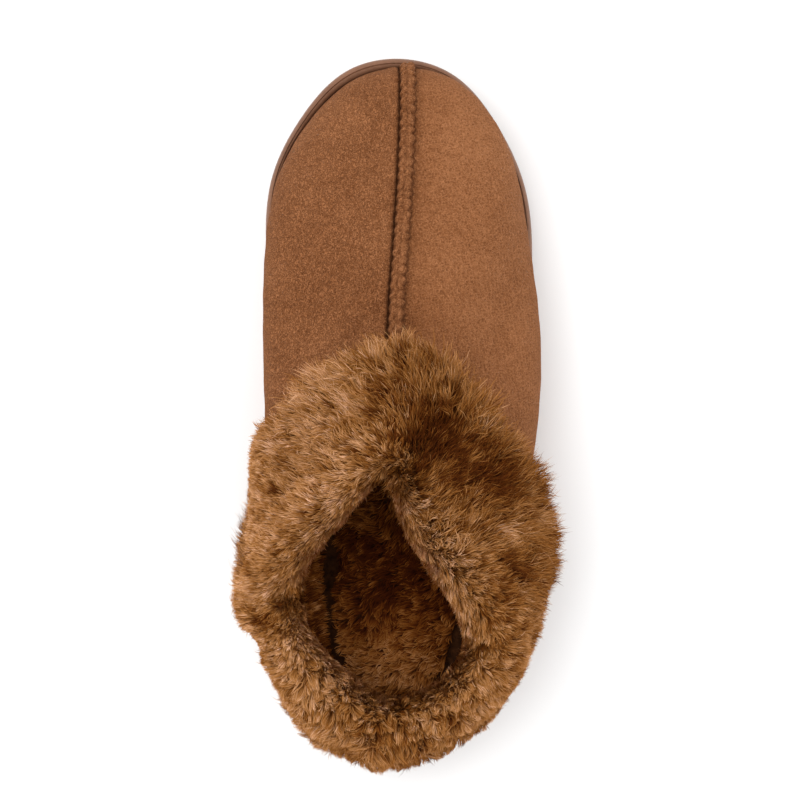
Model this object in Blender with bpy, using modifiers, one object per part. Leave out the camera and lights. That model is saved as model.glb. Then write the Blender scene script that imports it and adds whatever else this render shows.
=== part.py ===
"""Clog slipper for the right foot: a moulded rubber sole with a cup for the upper, a soft suede
upper, a fleecy insole, a raised seam down the vamp and a deep fur cuff folded over the collar.

The toe points along +Y and the floor is Z = 0. Every piece is worked out in one pair of surface
coordinates: the turn, which goes once round the shoe from the toe by the right side, the heel and
the left side, and the share of the way up the upper from the sole's rim to the collar's edge."""

import math

import bmesh
import bpy
import numpy as np
from mathutils import Matrix

# Driving sizes, in metres
SOLE_LENGTH = 0.259
BALL_WIDTH = 0.1016
HEEL_END = -0.124
INSTEP_HEIGHT = 0.080
HEEL_HEIGHT = 0.058
UPPER_WALL = 0.0026
COLLAR_SPREAD = 0.020
GAP = 0.0003

# Sole: heights and widths of its rim, and the flats that it stands on, as stretches along Y;
# RIM_TOE_TURNS has the turn where the rim is widest, and half the span that it grows over
RIM_HEIGHT = 0.019
RIM_TOE_LIFT = 0.005
RIM_TOE_START = 0.029
RIM_HEEL_LIFT = 0.006
RIM_HEEL_START = -0.008
RIM_RAMP = 0.100
RIM_WIDTH = 0.0032
RIM_TOE_WIDTH = 0.0014
RIM_TOE_TURNS = (0.965, 0.075)
RIM_BREAK = 0.0004
CUP_DEPTH = 0.006
TOE_SPRING = 0.009
ARCH_RISE = 0.003
HEEL_BEVEL = 0.003
FORE_FLAT = (-0.008, 0.072)
HEEL_FLAT = (-0.108, -0.062)

# Tread: grooves across the two flats
GROOVE_WIDTH = 0.003
GROOVE_DEPTH = 0.0022
GROOVE_PITCH = 0.0125
GROOVE_MARGIN = 0.011
FORE_GROOVES = (0.002, 7)
HEEL_GROOVES = (-0.0975, 3)

INSOLE_THICKNESS = 0.008
INSOLE_GAP = 0.0055

# Seam: two plaited rolls side by side on the centre line of the vamp
SEAM_HALF_WIDTH = 0.0029
SEAM_HEIGHT = 0.0024
SEAM_TOE_GAP = 0.0015
SEAM_CUFF_GAP = 0.0045

# Cuff: its skin's clearance from the upper, how far it turns inside, and how far its pile overhangs
CUFF_GAP = 0.0008
CUFF_TUCK = 0.018
CUFF_OVERHANG = 0.005
CUFF_TUCK_PILE = 0.003

# Fineness of the meshes, and the small steps that slopes are read over
COLUMNS = 64
INSOLE_COLUMNS = 40
UPPER_ROWS = 11
SEAM_ROWS = 20
CURVE_STEPS = np.linspace(0.0, 1.0, 49)
EDGE_STEP = 1e-4
TURN_STEP = 0.004
SHARE_STEP = 0.02

# Edge of the sole seen from above, clockwise from the toe: along is a share of SOLE_LENGTH from the
# heel, and across a share of BALL_WIDTH to the right
SOLE_EDGE = (
    # station, along, across
    ("toe", 1.003, 0.030),
    ("right of toe", 0.979, 0.205),
    ("toe shoulder right", 0.911, 0.359),
    ("little toe", 0.807, 0.476),
    ("ball right", 0.672, 0.498),
    ("outstep", 0.498, 0.492),
    ("waist right", 0.305, 0.458),
    ("heel right", 0.127, 0.389),
    ("heel corner right", 0.023, 0.231),
    ("heel", 0.000, -0.010),
    ("heel corner left", 0.025, -0.251),
    ("heel left", 0.127, -0.384),
    ("waist left", 0.305, -0.418),
    ("instep", 0.498, -0.458),
    ("ball left", 0.691, -0.500),
    ("big toe", 0.830, -0.482),
    ("toe shoulder left", 0.919, -0.369),
    ("left of toe", 0.987, -0.195),
)

# Edge of the collar: rise is the share of the way from HEEL_HEIGHT to INSTEP_HEIGHT
COLLAR_EDGE = (
    # station, turn, along, across, rise
    ("throat", 0.000, 0.432, -0.035, 1.00),
    ("throat right", 0.130, 0.363, 0.070, 0.86),
    ("side right", 0.300, 0.224, 0.310, 0.41),
    ("heel right", 0.410, 0.100, 0.297, 0.09),
    ("heel", 0.495, 0.028, -0.025, 0.00),
    ("heel left", 0.580, 0.100, -0.338, 0.09),
    ("side left", 0.690, 0.216, -0.470, 0.36),
    ("throat left", 0.870, 0.355, -0.285, 0.82),
)

# Curve of the upper from the sole to the collar: it leaves the rim by rise and flare, and reaches
# the collar over reach and drop
LAST_SECTIONS = (
    # station, turn, rise, flare, reach, drop
    ("toe", 0.000, 0.033, 0.006, 0.062, 0.022),
    ("toe shoulder right", 0.075, 0.031, 0.016, 0.053, 0.019),
    ("little toe", 0.122, 0.029, 0.007, 0.043, 0.016),
    ("ball right", 0.172, 0.026, 0.017, 0.034, 0.013),
    ("side right", 0.300, 0.020, 0.011, 0.008, 0.017),
    ("heel right", 0.410, 0.016, 0.006, 0.005, 0.016),
    ("heel", 0.495, 0.016, 0.005, 0.004, 0.016),
    ("heel left", 0.585, 0.016, 0.006, 0.005, 0.016),
    ("side left", 0.700, 0.020, 0.007, 0.008, 0.017),
    ("ball left", 0.822, 0.026, 0.010, 0.034, 0.013),
    ("toe shoulder left", 0.915, 0.031, 0.003, 0.052, 0.019),
)

# Cuff: length of the flap outside the collar, and the depth of the pile on it, over the crest and
# inside the opening
CUFF_SECTIONS = (
    # station, turn, flap, pile outside, pile on the crest, pile inside
    ("front", 0.000, 0.034, 0.0085, 0.005, 0.007),
    ("front right", 0.080, 0.035, 0.0085, 0.008, 0.011),
    ("right", 0.200, 0.037, 0.0105, 0.010, 0.014),
    ("side right", 0.300, 0.033, 0.0120, 0.009, 0.012),
    ("heel corner right", 0.380, 0.027, 0.0055, 0.008, 0.008),
    ("heel right", 0.450, 0.021, 0.0040, 0.008, 0.004),
    ("heel", 0.515, 0.020, 0.0060, 0.008, 0.003),
    ("heel left", 0.570, 0.022, 0.0045, 0.008, 0.004),
    ("notch left", 0.608, 0.026, 0.0045, 0.008, 0.004),
    ("corner left", 0.648, 0.031, 0.0100, 0.009, 0.003),
    ("left", 0.720, 0.036, 0.0055, 0.009, 0.003),
    ("instep left", 0.800, 0.038, 0.0050, 0.009, 0.005),
    ("throat left", 0.850, 0.034, 0.0045, 0.009, 0.005),
    ("front left", 0.920, 0.034, 0.0080, 0.008, 0.006),
)
FLAP_SHARES = (0.00, 0.16, 0.40, 0.68, 0.90)
FLAP_PILE = (0.58, 0.92, 1.00, 0.96, 0.90)
CREST_ANGLES = (35.0, 90.0, 145.0)
TUCK_SHARES = (0.40, 1.00)

# Locks of fur fused to the cuff: row counts the cuff's section rows from the end of the flap, lift is
# the angle between a lock and the pile's surface, and a lock is flattened to LOCK_THICKNESS of its width,
# or to LOCK_ROOM of the pile's depth where that is less
LOCKS = (
    # name, row, locks round the cuff, length, half width at the root, lift
    ("fringe", 0.5, 31, 0.0170, 0.0070, 14.0),
    ("flap", 1.7, 26, 0.0180, 0.0072, 15.0),
    ("shoulder", 3.1, 21, 0.0170, 0.0068, 16.0),
    ("crest", 4.6, 15, 0.0150, 0.0062, 18.0),
)
LOCK_SIDES = 4
LOCK_TIP = 0.12
LOCK_THICKNESS = 0.55
LOCK_ROOM = 0.50
LOCK_SINK = 0.0060
LOCK_SPREAD = 0.30
LOCK_TILT = 6.0
LOCK_SIZES = (0.80, 1.15)
LOCK_SEED = 7

COLOURS = {
    # material: base colour, roughness
    "rubber": ((0.150, 0.092, 0.064), 0.55),
    "suede": ((0.325, 0.142, 0.062), 0.90),
    "fleece": ((0.200, 0.098, 0.040), 0.95),
    "fur": ((0.380, 0.200, 0.090), 0.95),
}


def closed_spline(knots, rows, at):
    """Values at the given places of the smooth closed curve through rows, with a period of 1."""
    knots = np.asarray(knots, float)
    rows = np.asarray(rows, float).reshape(len(knots), -1)
    gaps = np.diff(np.append(knots, knots[0] + 1.0))
    before = np.roll(gaps, 1)
    pitch = (np.roll(rows, -1, axis=0) - rows) / gaps[:, None]
    system = np.zeros((len(knots), len(knots)))
    for i in range(len(knots)):
        system[i, i - 1] += gaps[i]
        system[i, i] += 2.0 * (before[i] + gaps[i])
        system[i, (i + 1) % len(knots)] += before[i]
    pull = 3.0 * (gaps[:, None] * np.roll(pitch, 1, axis=0) + before[:, None] * pitch)
    slope = np.linalg.solve(system, pull)
    at = np.mod(np.asarray(at, float) - knots[0], 1.0) + knots[0]
    i = np.searchsorted(knots, at, side="right") - 1
    j = (i + 1) % len(knots)
    span = gaps[i][..., None]
    t = (at - knots[i])[..., None] / span
    return (
        (1.0 + 2.0 * t) * (1.0 - t) ** 2 * rows[i]
        + t * (1.0 - t) ** 2 * span * slope[i]
        + t * t * (3.0 - 2.0 * t) * rows[j]
        + t * t * (t - 1.0) * span * slope[j]
    )


def table_at(table, turn):
    """The numbers of a table of stations, read at any turn."""
    return closed_spline([row[1] for row in table], [row[2:] for row in table], turn)


def ease(x):
    """A smooth step from 0 to 1."""
    x = np.clip(x, 0.0, 1.0)
    return x * x * (3.0 - 2.0 * x)


def unit(vectors):
    return vectors / np.linalg.norm(vectors, axis=-1, keepdims=True)


def plan(along, across):
    """Places on the plan from shares of the sole's length and of the ball's width."""
    return np.stack([across * BALL_WIDTH, HEEL_END + along * SOLE_LENGTH], axis=-1)


def sole_edge(turn):
    """Plan points of the sole's edge, and the outward directions there."""
    corners = plan(*np.array([row[1:] for row in SOLE_EDGE]).T)
    steps = np.linalg.norm(np.roll(corners, -1, axis=0) - corners, axis=1)
    knots = (np.cumsum(steps) - steps) / steps.sum()
    ahead = closed_spline(knots, corners, turn + EDGE_STEP) - closed_spline(knots, corners, turn - EDGE_STEP)
    outward = unit(np.stack([-ahead[..., 1], ahead[..., 0]], axis=-1))
    return closed_spline(knots, corners, turn), outward


def tread_height(y):
    """Underside of the sole: two flats on the floor, with the arch, the toe spring and the heel's bevel."""
    toe_end = HEEL_END + SOLE_LENGTH
    toe = np.clip((y - FORE_FLAT[1]) / (toe_end - FORE_FLAT[1]), 0.0, 1.0)
    arch = np.clip((y - HEEL_FLAT[1]) / (FORE_FLAT[0] - HEEL_FLAT[1]), 0.0, 1.0)
    heel = np.clip((HEEL_FLAT[0] - y) / (HEEL_FLAT[0] - HEEL_END), 0.0, 1.0)
    return TOE_SPRING * toe**2 + ARCH_RISE * np.sin(np.pi * arch) ** 2 + HEEL_BEVEL * heel**2


def rim_height(y):
    """Top of the sole's rim, which rises to the toe and to the heel."""
    toe = RIM_TOE_LIFT * ease((y - RIM_TOE_START) / RIM_RAMP)
    heel = RIM_HEEL_LIFT * ease((RIM_HEEL_START - y) / RIM_RAMP)
    return RIM_HEIGHT + toe + heel


def rim_width(turn):
    """Width of the sole's rim, which grows by RIM_TOE_WIDTH on the left of the toe."""
    middle, half_span = RIM_TOE_TURNS
    away = np.abs(np.mod(turn - middle + 0.5, 1.0) - 0.5)
    return (RIM_WIDTH + RIM_TOE_WIDTH * ease(1.0 - away / half_span))[:, None]


def upper_foot(turn):
    """Points where the upper leaves the sole's cup, and the outward directions there."""
    edge, outward = sole_edge(turn)
    foot = edge - outward * (rim_width(turn) + GAP)
    return np.column_stack([foot, rim_height(foot[:, 1])]), np.column_stack([outward, 0.0 * turn])


def upper_surface(turn, share):
    """Points of the upper's outside at a share of the way from the sole's rim to the collar."""
    turn, share = np.broadcast_arrays(np.asarray(turn, float), np.asarray(share, float))
    shape = turn.shape
    turn = turn.ravel()
    foot, outward = upper_foot(turn)
    along, across, rise = table_at(COLLAR_EDGE, turn).T
    collar_height = HEEL_HEIGHT + rise * (INSTEP_HEIGHT - HEEL_HEIGHT)
    collar = np.column_stack([plan(along, across), collar_height])
    lift, flare, reach, drop = table_at(LAST_SECTIONS, turn).T
    up = np.array([0.0, 0.0, 1.0])
    leave = foot + outward * flare[:, None] + up * lift[:, None]
    back = (foot - collar) * (1.0, 1.0, 0.0) + outward * COLLAR_SPREAD
    arrive = collar + unit(back) * reach[:, None] - up * drop[:, None]
    t = CURVE_STEPS
    weights = np.stack([(1 - t) ** 3, 3 * t * (1 - t) ** 2, 3 * t * t * (1 - t), t**3])
    curves = np.einsum("kt,kic->itc", weights, np.stack([foot, leave, arrive, collar]))
    points = np.empty((len(turn), 3))
    for i, (curve, part) in enumerate(zip(curves, share.ravel())):
        length = np.concatenate([[0.0], np.cumsum(np.linalg.norm(np.diff(curve, axis=0), axis=1))])
        points[i] = [np.interp(part * length[-1], length, curve[:, axis]) for axis in range(3)]
    return points.reshape(shape + (3,))


def upper_length(turn):
    """Distance along the upper from the sole's rim to the collar."""
    steps = np.diff(upper_surface(turn[:, None], CURVE_STEPS[None, :]), axis=1)
    return np.linalg.norm(steps, axis=2).sum(axis=1)


def upper_normal(turn, share):
    """Outward directions of the upper's outside."""
    place = np.clip(share, SHARE_STEP, 1.0 - SHARE_STEP)
    rising = upper_surface(turn, place + SHARE_STEP) - upper_surface(turn, place - SHARE_STEP)
    round_shoe = upper_surface(turn + TURN_STEP, place) - upper_surface(turn - TURN_STEP, place)
    return unit(np.cross(rising, round_shoe))


def cuff_section(turn):
    """Rows of the cuff's skin and of its pile, each from the end of the flap over to the tuck."""
    flap, pile_out, pile_top, pile_in = table_at(CUFF_SECTIONS, turn).T
    length = upper_length(turn)
    crest_share = np.ones_like(turn)
    crest = upper_surface(turn, crest_share)
    outward = upper_normal(turn, crest_share)
    rising = unit(crest - upper_surface(turn, crest_share - SHARE_STEP))
    rising = unit(rising - outward * np.sum(rising * outward, axis=1, keepdims=True))
    skin, pile = [], []
    for part, depth in zip(FLAP_SHARES, FLAP_PILE):
        share = 1.0 - flap * (1.0 - part) / length
        place = upper_surface(turn, share)
        normal = upper_normal(turn, share)
        down = unit(place - upper_surface(turn, share + SHARE_STEP))
        hang = CUFF_OVERHANG * (1.0 - part) ** 3
        skin.append(place + normal * CUFF_GAP)
        pile.append(place + normal * (pile_out * depth)[:, None] + down * hang)
    middle = crest - outward * 0.5 * UPPER_WALL
    radius = 0.5 * UPPER_WALL + CUFF_GAP
    for angle in CREST_ANGLES:
        swing = math.radians(angle)
        direction = outward * math.cos(swing) + rising * math.sin(swing)
        skin.append(middle + direction * radius)
        pile.append(middle + direction * (radius + pile_top)[:, None])
    for part in TUCK_SHARES:
        share = 1.0 - CUFF_TUCK * part / length
        place = upper_surface(turn, share)
        normal = upper_normal(turn, share)
        depth = pile_in + (CUFF_TUCK_PILE - pile_in) * part**2
        skin.append(place - normal * (UPPER_WALL + CUFF_GAP))
        pile.append(place - normal * (UPPER_WALL + CUFF_GAP + depth)[:, None])
    return np.stack(skin), np.stack(pile)


def pile_place(turn, row):
    """A point of the cuff's pile, the outward direction there, the way towards the flap's end, and the
    pile's depth."""
    skin, pile = cuff_section(np.array([turn - TURN_STEP, turn, turn + TURN_STEP]))
    low = int(row)
    mix = row - low
    points = pile[low] * (1.0 - mix) + pile[low + 1] * mix
    down = unit(pile[low, 1] - pile[low + 1, 1])
    outward = unit(np.cross(-down, points[2] - points[0]))
    bottom = skin[low, 1] * (1.0 - mix) + skin[low + 1, 1] * mix
    return points[1], outward, down, float(np.sum((points[1] - bottom) * outward))


def make_object(name, mesh, material, collection):
    piece = bpy.data.objects.new(name, mesh)
    collection.objects.link(piece)
    if material is not None:
        mesh.materials.append(material)
    mesh.shade_smooth()
    return piece


def loft(name, rings, wrap=False, ladders=(), caps=False):
    """A mesh of quads between rings of points. wrap joins the last ring to the first, a ladder closes
    a ring by rungs from its right half to its left half, and caps close the two end rings."""
    rows, columns = rings.shape[:2]
    index = np.arange(rows * columns).reshape(rows, columns)
    faces = []
    for row in range(rows if wrap else rows - 1):
        lower, higher = index[row], index[(row + 1) % rows]
        for column in range(columns):
            right = (column + 1) % columns
            faces.append((lower[column], higher[column], higher[right], lower[right]))
    for row in ladders:
        ring = index[row]
        for rung in range(columns // 2):
            corners = [ring[rung], ring[rung + 1], ring[columns - rung - 1], ring[-rung % columns]]
            faces.append(list(dict.fromkeys(corners)))
    if caps:
        faces += [index[0], index[-1]]
    mesh = bpy.data.meshes.new(name)
    mesh.from_pydata(rings.reshape(-1, 3).tolist(), [], [[int(i) for i in face] for face in faces])
    if wrap or ladders or caps:
        turn_faces_out(mesh)
    return mesh


def turn_faces_out(mesh):
    shell = bmesh.new()
    shell.from_mesh(mesh)
    bmesh.ops.recalc_face_normals(shell, faces=shell.faces)
    shell.to_mesh(mesh)
    shell.free()


def turns(count):
    return np.arange(count) / count


def make_outsole(parts, cutters, material):
    """The sole: a rounded side with one groove line, a rim, and a cup that the upper sits in."""
    sides = (
        # inset from the edge, share of the height from the tread to the rim
        (0.0032, 0.00),
        (0.0009, 0.10),
        (0.0000, 0.36),
        (0.0001, 0.58),
        (0.0011, 0.64),
        (0.0001, 0.70),
        (0.0004, 0.90),
        (0.0014, 1.00),
        (rim_width(turns(COLUMNS)) - RIM_BREAK, 1.00),
    )
    edge, outward = sole_edge(turns(COLUMNS))
    rings = []
    for inset, part in sides:
        place = edge - outward * inset
        low, high = tread_height(place[:, 1]), rim_height(place[:, 1])
        rings.append(np.column_stack([place, low + (high - low) * part]))
    inside = edge - outward * rim_width(turns(COLUMNS))
    for depth in (0.0006, CUP_DEPTH):
        rings.append(np.column_stack([inside, rim_height(inside[:, 1]) - depth]))
    mesh = loft("outsole", np.stack(rings), ladders=(0, -1))
    outsole = make_object("outsole", mesh, material, parts)
    grooves = bmesh.new()
    for first, count in (FORE_GROOVES, HEEL_GROOVES):
        for y in first + GROOVE_PITCH * np.arange(count):
            across = edge[np.abs(edge[:, 1] - y) < GROOVE_PITCH][:, 0]
            left, right = across.min() + GROOVE_MARGIN, across.max() - GROOVE_MARGIN
            size = Matrix.Diagonal((right - left, GROOVE_WIDTH, 2.0 * GROOVE_DEPTH, 1.0))
            place = Matrix.Translation(((left + right) / 2.0, y, float(tread_height(y))))
            bmesh.ops.create_cube(grooves, size=1.0, matrix=place @ size)
    cutter_mesh = bpy.data.meshes.new("tread_grooves")
    grooves.to_mesh(cutter_mesh)
    grooves.free()
    cutter = make_helper("tread_grooves", cutter_mesh, cutters)
    combine(outsole, cutter, "DIFFERENCE")
    return outsole


def make_helper(name, mesh, cutters):
    """An object that only cuts or joins another."""
    helper = make_object(name, mesh, None, cutters)
    helper.hide_render = True
    helper.display_type = "WIRE"
    return helper


def combine(piece, helper, operation):
    joined = piece.modifiers.new(operation.lower(), "BOOLEAN")
    joined.object = helper
    joined.operation = operation
    joined.solver = "EXACT"
    joined.use_self = operation == "UNION"


def make_insole(parts, material):
    """The fleecy footbed, which lies on the cup's floor inside the upper."""
    edge, outward = sole_edge(turns(INSOLE_COLUMNS))
    inside = rim_width(turns(INSOLE_COLUMNS)) + GAP + UPPER_WALL + INSOLE_GAP
    profile = ((0.0006, 0.0), (0.0, 0.25), (0.0, 0.70), (0.0012, 0.93), (0.0040, 1.0))
    rings = []
    for inset, part in profile:
        place = edge - outward * (inside + inset)
        floor = rim_height(place[:, 1]) - CUP_DEPTH + 2.0 * GAP
        rings.append(np.column_stack([place, floor + part * INSOLE_THICKNESS]))
    return make_object("insole", loft("insole", np.stack(rings), ladders=(0, -1)), material, parts)


def make_upper(parts, material):
    """The suede upper: one skin from inside the sole's cup to the collar, open at both ends."""
    turn = turns(COLUMNS)
    foot = upper_foot(turn)[0]
    rings = [foot - (0.0, 0.0, CUP_DEPTH - GAP)]
    rings += [upper_surface(turn, share) for share in np.linspace(0.0, 1.0, UPPER_ROWS)]
    upper = make_object("upper", loft("upper", np.stack(rings)), material, parts)
    wall = upper.modifiers.new("wall", "SOLIDIFY")
    wall.thickness = UPPER_WALL
    wall.offset = -1.0
    wall.use_even_offset = True
    return upper


def make_seam(parts, material):
    """The raised seam from the toe to the cuff: its section is two rolls with a crease between."""
    section = (
        # across in half widths, height as a share of the seam's
        (-1.00, 0.00),
        (-0.98, 0.55),
        (-0.55, 1.00),
        (-0.10, 0.62),
        (0.10, 0.62),
        (0.55, 1.00),
        (0.98, 0.55),
        (1.00, 0.00),
    )
    middle = np.zeros(1)
    length = float(upper_length(middle)[0])
    flap = float(table_at(CUFF_SECTIONS, middle)[0, 0])
    shares = np.linspace(SEAM_TOE_GAP / length, 1.0 - (flap + SEAM_CUFF_GAP) / length, SEAM_ROWS)
    rings = []
    for share in shares:
        width = np.linalg.norm(upper_surface(TURN_STEP, share) - upper_surface(-TURN_STEP, share))
        turn_step = 2.0 * TURN_STEP * SEAM_HALF_WIDTH / width
        ring = []
        for across, height in section:
            turn = np.array([across * turn_step])
            place = upper_surface(turn, share)[0]
            normal = upper_normal(turn, np.array([share]))[0]
            ring.append(place + normal * (GAP + height * SEAM_HEIGHT))
        rings.append(ring)
    return make_object("vamp_seam", loft("vamp_seam", np.array(rings), caps=True), material, parts)


def lock_frame(centre, axis, outward, thickness):
    """Place of a lock: its length lies along Z, and its thin way faces out of the pile."""
    wide = unit(np.cross(outward, axis))
    thin = np.cross(axis, wide) * thickness
    frame = np.eye(4)
    frame[:3] = np.column_stack([wide, thin, axis, centre])
    return Matrix(frame.tolist())


def make_cuff(parts, cutters, material):
    """The fur cuff: a flap outside the collar, a crest over its edge and a tuck inside, with locks."""
    skin, pile = cuff_section(turns(COLUMNS))
    mesh = loft("cuff", np.concatenate([pile, skin[::-1]]), wrap=True)
    cuff = make_object("cuff", mesh, material, parts)
    chance = np.random.default_rng(LOCK_SEED)
    locks = bmesh.new()
    for _, row, count, length, radius, lift in LOCKS:
        for number in range(count):
            turn = (number + 0.5 * (row % 2.0) + chance.uniform(-LOCK_SPREAD, LOCK_SPREAD)) / count
            place, outward, down, depth = pile_place(turn, row)
            sideways = np.cross(outward, down)
            size = chance.uniform(*LOCK_SIZES)
            rise = math.radians(lift + chance.uniform(-LOCK_TILT, LOCK_TILT))
            axis = down * math.cos(rise) + outward * math.sin(rise)
            axis = unit(axis + sideways * chance.uniform(-LOCK_SPREAD, LOCK_SPREAD))
            room = LOCK_ROOM * depth
            centre = place + axis * (0.5 * length * size - min(LOCK_SINK, 3.0 * room))
            matrix = lock_frame(centre, axis, outward, min(LOCK_THICKNESS, room / (radius * size)))
            bmesh.ops.create_cone(
                locks,
                cap_ends=True,
                segments=LOCK_SIDES,
                radius1=radius * size,
                radius2=radius * size * LOCK_TIP,
                depth=length * size,
                matrix=matrix,
            )
    lock_mesh = bpy.data.meshes.new("cuff_locks")
    locks.to_mesh(lock_mesh)
    locks.free()
    combine(cuff, make_helper("cuff_locks", lock_mesh, cutters), "UNION")
    return cuff


def make_material(name):
    colour, roughness = COLOURS[name]
    material = bpy.data.materials.new(name)
    material.use_nodes = True
    shader = material.node_tree.nodes["Principled BSDF"]
    shader.inputs["Base Color"].default_value = (*colour, 1.0)
    shader.inputs["Roughness"].default_value = roughness
    shader.inputs["Metallic"].default_value = 0.0
    return material


def stand_on_origin(root, pieces):
    """Moves the whole shoe level, so that the origin is under the middle of its box."""
    bpy.context.view_layer.update()
    graph = bpy.context.evaluated_depsgraph_get()
    corners = np.array([corner for piece in pieces for corner in piece.evaluated_get(graph).bound_box])
    middle = (corners.min(axis=0) + corners.max(axis=0)) / 2.0
    root.location = (-middle[0], -middle[1], 0.0)


def main():
    for item in list(bpy.data.objects):
        bpy.data.objects.remove(item, do_unlink=True)
    parts = bpy.data.collections.new("clog_slipper")
    cutters = bpy.data.collections.new("clog_slipper_cutters")
    for collection in (parts, cutters):
        bpy.context.scene.collection.children.link(collection)
    materials = {name: make_material(name) for name in COLOURS}
    pieces = [
        make_outsole(parts, cutters, materials["rubber"]),
        make_insole(parts, materials["fleece"]),
        make_upper(parts, materials["suede"]),
        make_seam(parts, materials["suede"]),
        make_cuff(parts, cutters, materials["fur"]),
    ]
    root = bpy.data.objects.new("shoe", None)
    parts.objects.link(root)
    for item in list(parts.objects) + list(cutters.objects):
        if item is not root:
            item.parent = root
    stand_on_origin(root, pieces)


main()
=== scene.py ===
import math

import bpy
import numpy as np
from mathutils.kdtree import KDTree
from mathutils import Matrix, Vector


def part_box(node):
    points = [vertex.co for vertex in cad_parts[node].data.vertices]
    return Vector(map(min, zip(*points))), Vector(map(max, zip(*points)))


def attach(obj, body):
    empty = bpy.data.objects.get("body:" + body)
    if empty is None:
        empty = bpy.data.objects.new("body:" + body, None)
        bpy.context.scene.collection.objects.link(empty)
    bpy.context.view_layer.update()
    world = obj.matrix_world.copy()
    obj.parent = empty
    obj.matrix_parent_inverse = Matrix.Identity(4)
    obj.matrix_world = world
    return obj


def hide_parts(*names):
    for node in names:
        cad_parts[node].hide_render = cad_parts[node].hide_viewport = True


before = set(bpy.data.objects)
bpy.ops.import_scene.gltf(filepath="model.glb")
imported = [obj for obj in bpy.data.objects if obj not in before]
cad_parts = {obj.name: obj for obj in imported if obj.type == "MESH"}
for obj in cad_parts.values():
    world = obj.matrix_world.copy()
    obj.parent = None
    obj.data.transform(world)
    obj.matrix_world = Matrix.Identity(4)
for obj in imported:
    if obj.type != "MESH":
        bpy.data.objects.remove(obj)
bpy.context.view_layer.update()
print("frame loaded with", len(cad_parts), "solids")

# The last: the shoe's own sizes in metres, as its solids have them. Toe along +Y, floor at 0.
# A turn goes once round the shoe, clockwise from the toe; a share goes up from the sole to the collar.
last = {
    "soleLength": 0.259,
    "ballWidth": 0.1016,
    "heelEnd": -0.124,
    "instepHeight": 0.080,
    "heelHeight": 0.058,
    "wall": 0.0026,
    "collarSpread": 0.020,
    "gap": 0.0003,
    "curveSteps": 97,
    "solidColumns": 64,  # columns of the sole's solid, which place the shoe in the frame
}

soleEdge = [
    # along from the heel, across to the right
    (1.003, 0.030),  # toe
    (0.979, 0.205),
    (0.911, 0.359),
    (0.807, 0.476),  # little toe
    (0.672, 0.498),
    (0.498, 0.492),
    (0.305, 0.458),
    (0.127, 0.389),
    (0.023, 0.231),
    (0.000, -0.010),  # heel
    (0.025, -0.251),
    (0.127, -0.384),
    (0.305, -0.418),
    (0.498, -0.458),
    (0.691, -0.500),
    (0.830, -0.482),  # big toe
    (0.919, -0.369),
    (0.987, -0.195),
]

collarEdge = [
    # turn, along, across, rise
    (0.000, 0.432, -0.035, 1.00),  # throat
    (0.130, 0.363, 0.070, 0.86),
    (0.300, 0.224, 0.310, 0.41),
    (0.410, 0.100, 0.297, 0.09),
    (0.495, 0.028, -0.025, 0.00),  # heel
    (0.580, 0.100, -0.338, 0.09),
    (0.690, 0.216, -0.470, 0.36),
    (0.870, 0.355, -0.285, 0.82),
]

lastSections = [
    # turn, rise, flare, reach, drop
    (0.000, 0.033, 0.006, 0.062, 0.022),  # toe
    (0.075, 0.031, 0.016, 0.053, 0.019),
    (0.122, 0.029, 0.007, 0.043, 0.016),
    (0.172, 0.026, 0.017, 0.034, 0.013),
    (0.300, 0.020, 0.011, 0.008, 0.017),
    (0.410, 0.016, 0.006, 0.005, 0.016),
    (0.495, 0.016, 0.005, 0.004, 0.016),  # heel
    (0.585, 0.016, 0.006, 0.005, 0.016),
    (0.700, 0.020, 0.007, 0.008, 0.017),
    (0.822, 0.026, 0.010, 0.034, 0.013),
    (0.915, 0.031, 0.003, 0.052, 0.019),
]

soleForm = {
    "rimHeight": 0.019,
    "rimToeLift": 0.005,
    "rimToeStart": 0.029,
    "rimHeelLift": 0.006,
    "rimHeelStart": -0.008,
    "rimRamp": 0.100,
    "rimWidth": 0.0032,
    "rimToeWidth": 0.0014,  # wider by this on the left of the toe
    "rimToeTurns": (0.965, 0.075),
    "cupDepth": 0.006,
    "toeSpring": 0.009,
    "archRise": 0.003,
    "heelBevel": 0.003,
    "foreFlat": (-0.008, 0.072),
    "heelFlat": (-0.108, -0.062),
}


def closedSpline(knots, rows, at):
    knots = np.asarray(knots, float)
    rows = np.asarray(rows, float).reshape(len(knots), -1)
    gaps = np.diff(np.append(knots, knots[0] + 1.0))
    before = np.roll(gaps, 1)
    pitch = (np.roll(rows, -1, axis=0) - rows) / gaps[:, None]
    system = np.zeros((len(knots), len(knots)))
    for i in range(len(knots)):
        system[i, i - 1] += gaps[i]
        system[i, i] += 2.0 * (before[i] + gaps[i])
        system[i, (i + 1) % len(knots)] += before[i]
    pull = 3.0 * (gaps[:, None] * np.roll(pitch, 1, axis=0) + before[:, None] * pitch)
    slope = np.linalg.solve(system, pull)
    at = np.mod(np.asarray(at, float) - knots[0], 1.0) + knots[0]
    i = np.searchsorted(knots, at, side="right") - 1
    j = (i + 1) % len(knots)
    span = gaps[i][..., None]
    t = (at - knots[i])[..., None] / span
    return (
        (1.0 + 2.0 * t) * (1.0 - t) ** 2 * rows[i]
        + t * (1.0 - t) ** 2 * span * slope[i]
        + t * t * (3.0 - 2.0 * t) * rows[j]
        + t * t * (t - 1.0) * span * slope[j]
    )


def tableAt(table, turn):
    return closedSpline([row[0] for row in table], [row[1:] for row in table], turn).T


def ease(x):
    x = np.clip(x, 0.0, 1.0)
    return x * x * (3.0 - 2.0 * x)


def unit(vectors):
    return vectors / np.maximum(np.linalg.norm(vectors, axis=-1, keepdims=True), 1e-9)


def alongSurface(vectors, normal):
    return unit(vectors - normal * np.sum(vectors * normal, axis=1, keepdims=True))


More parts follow.
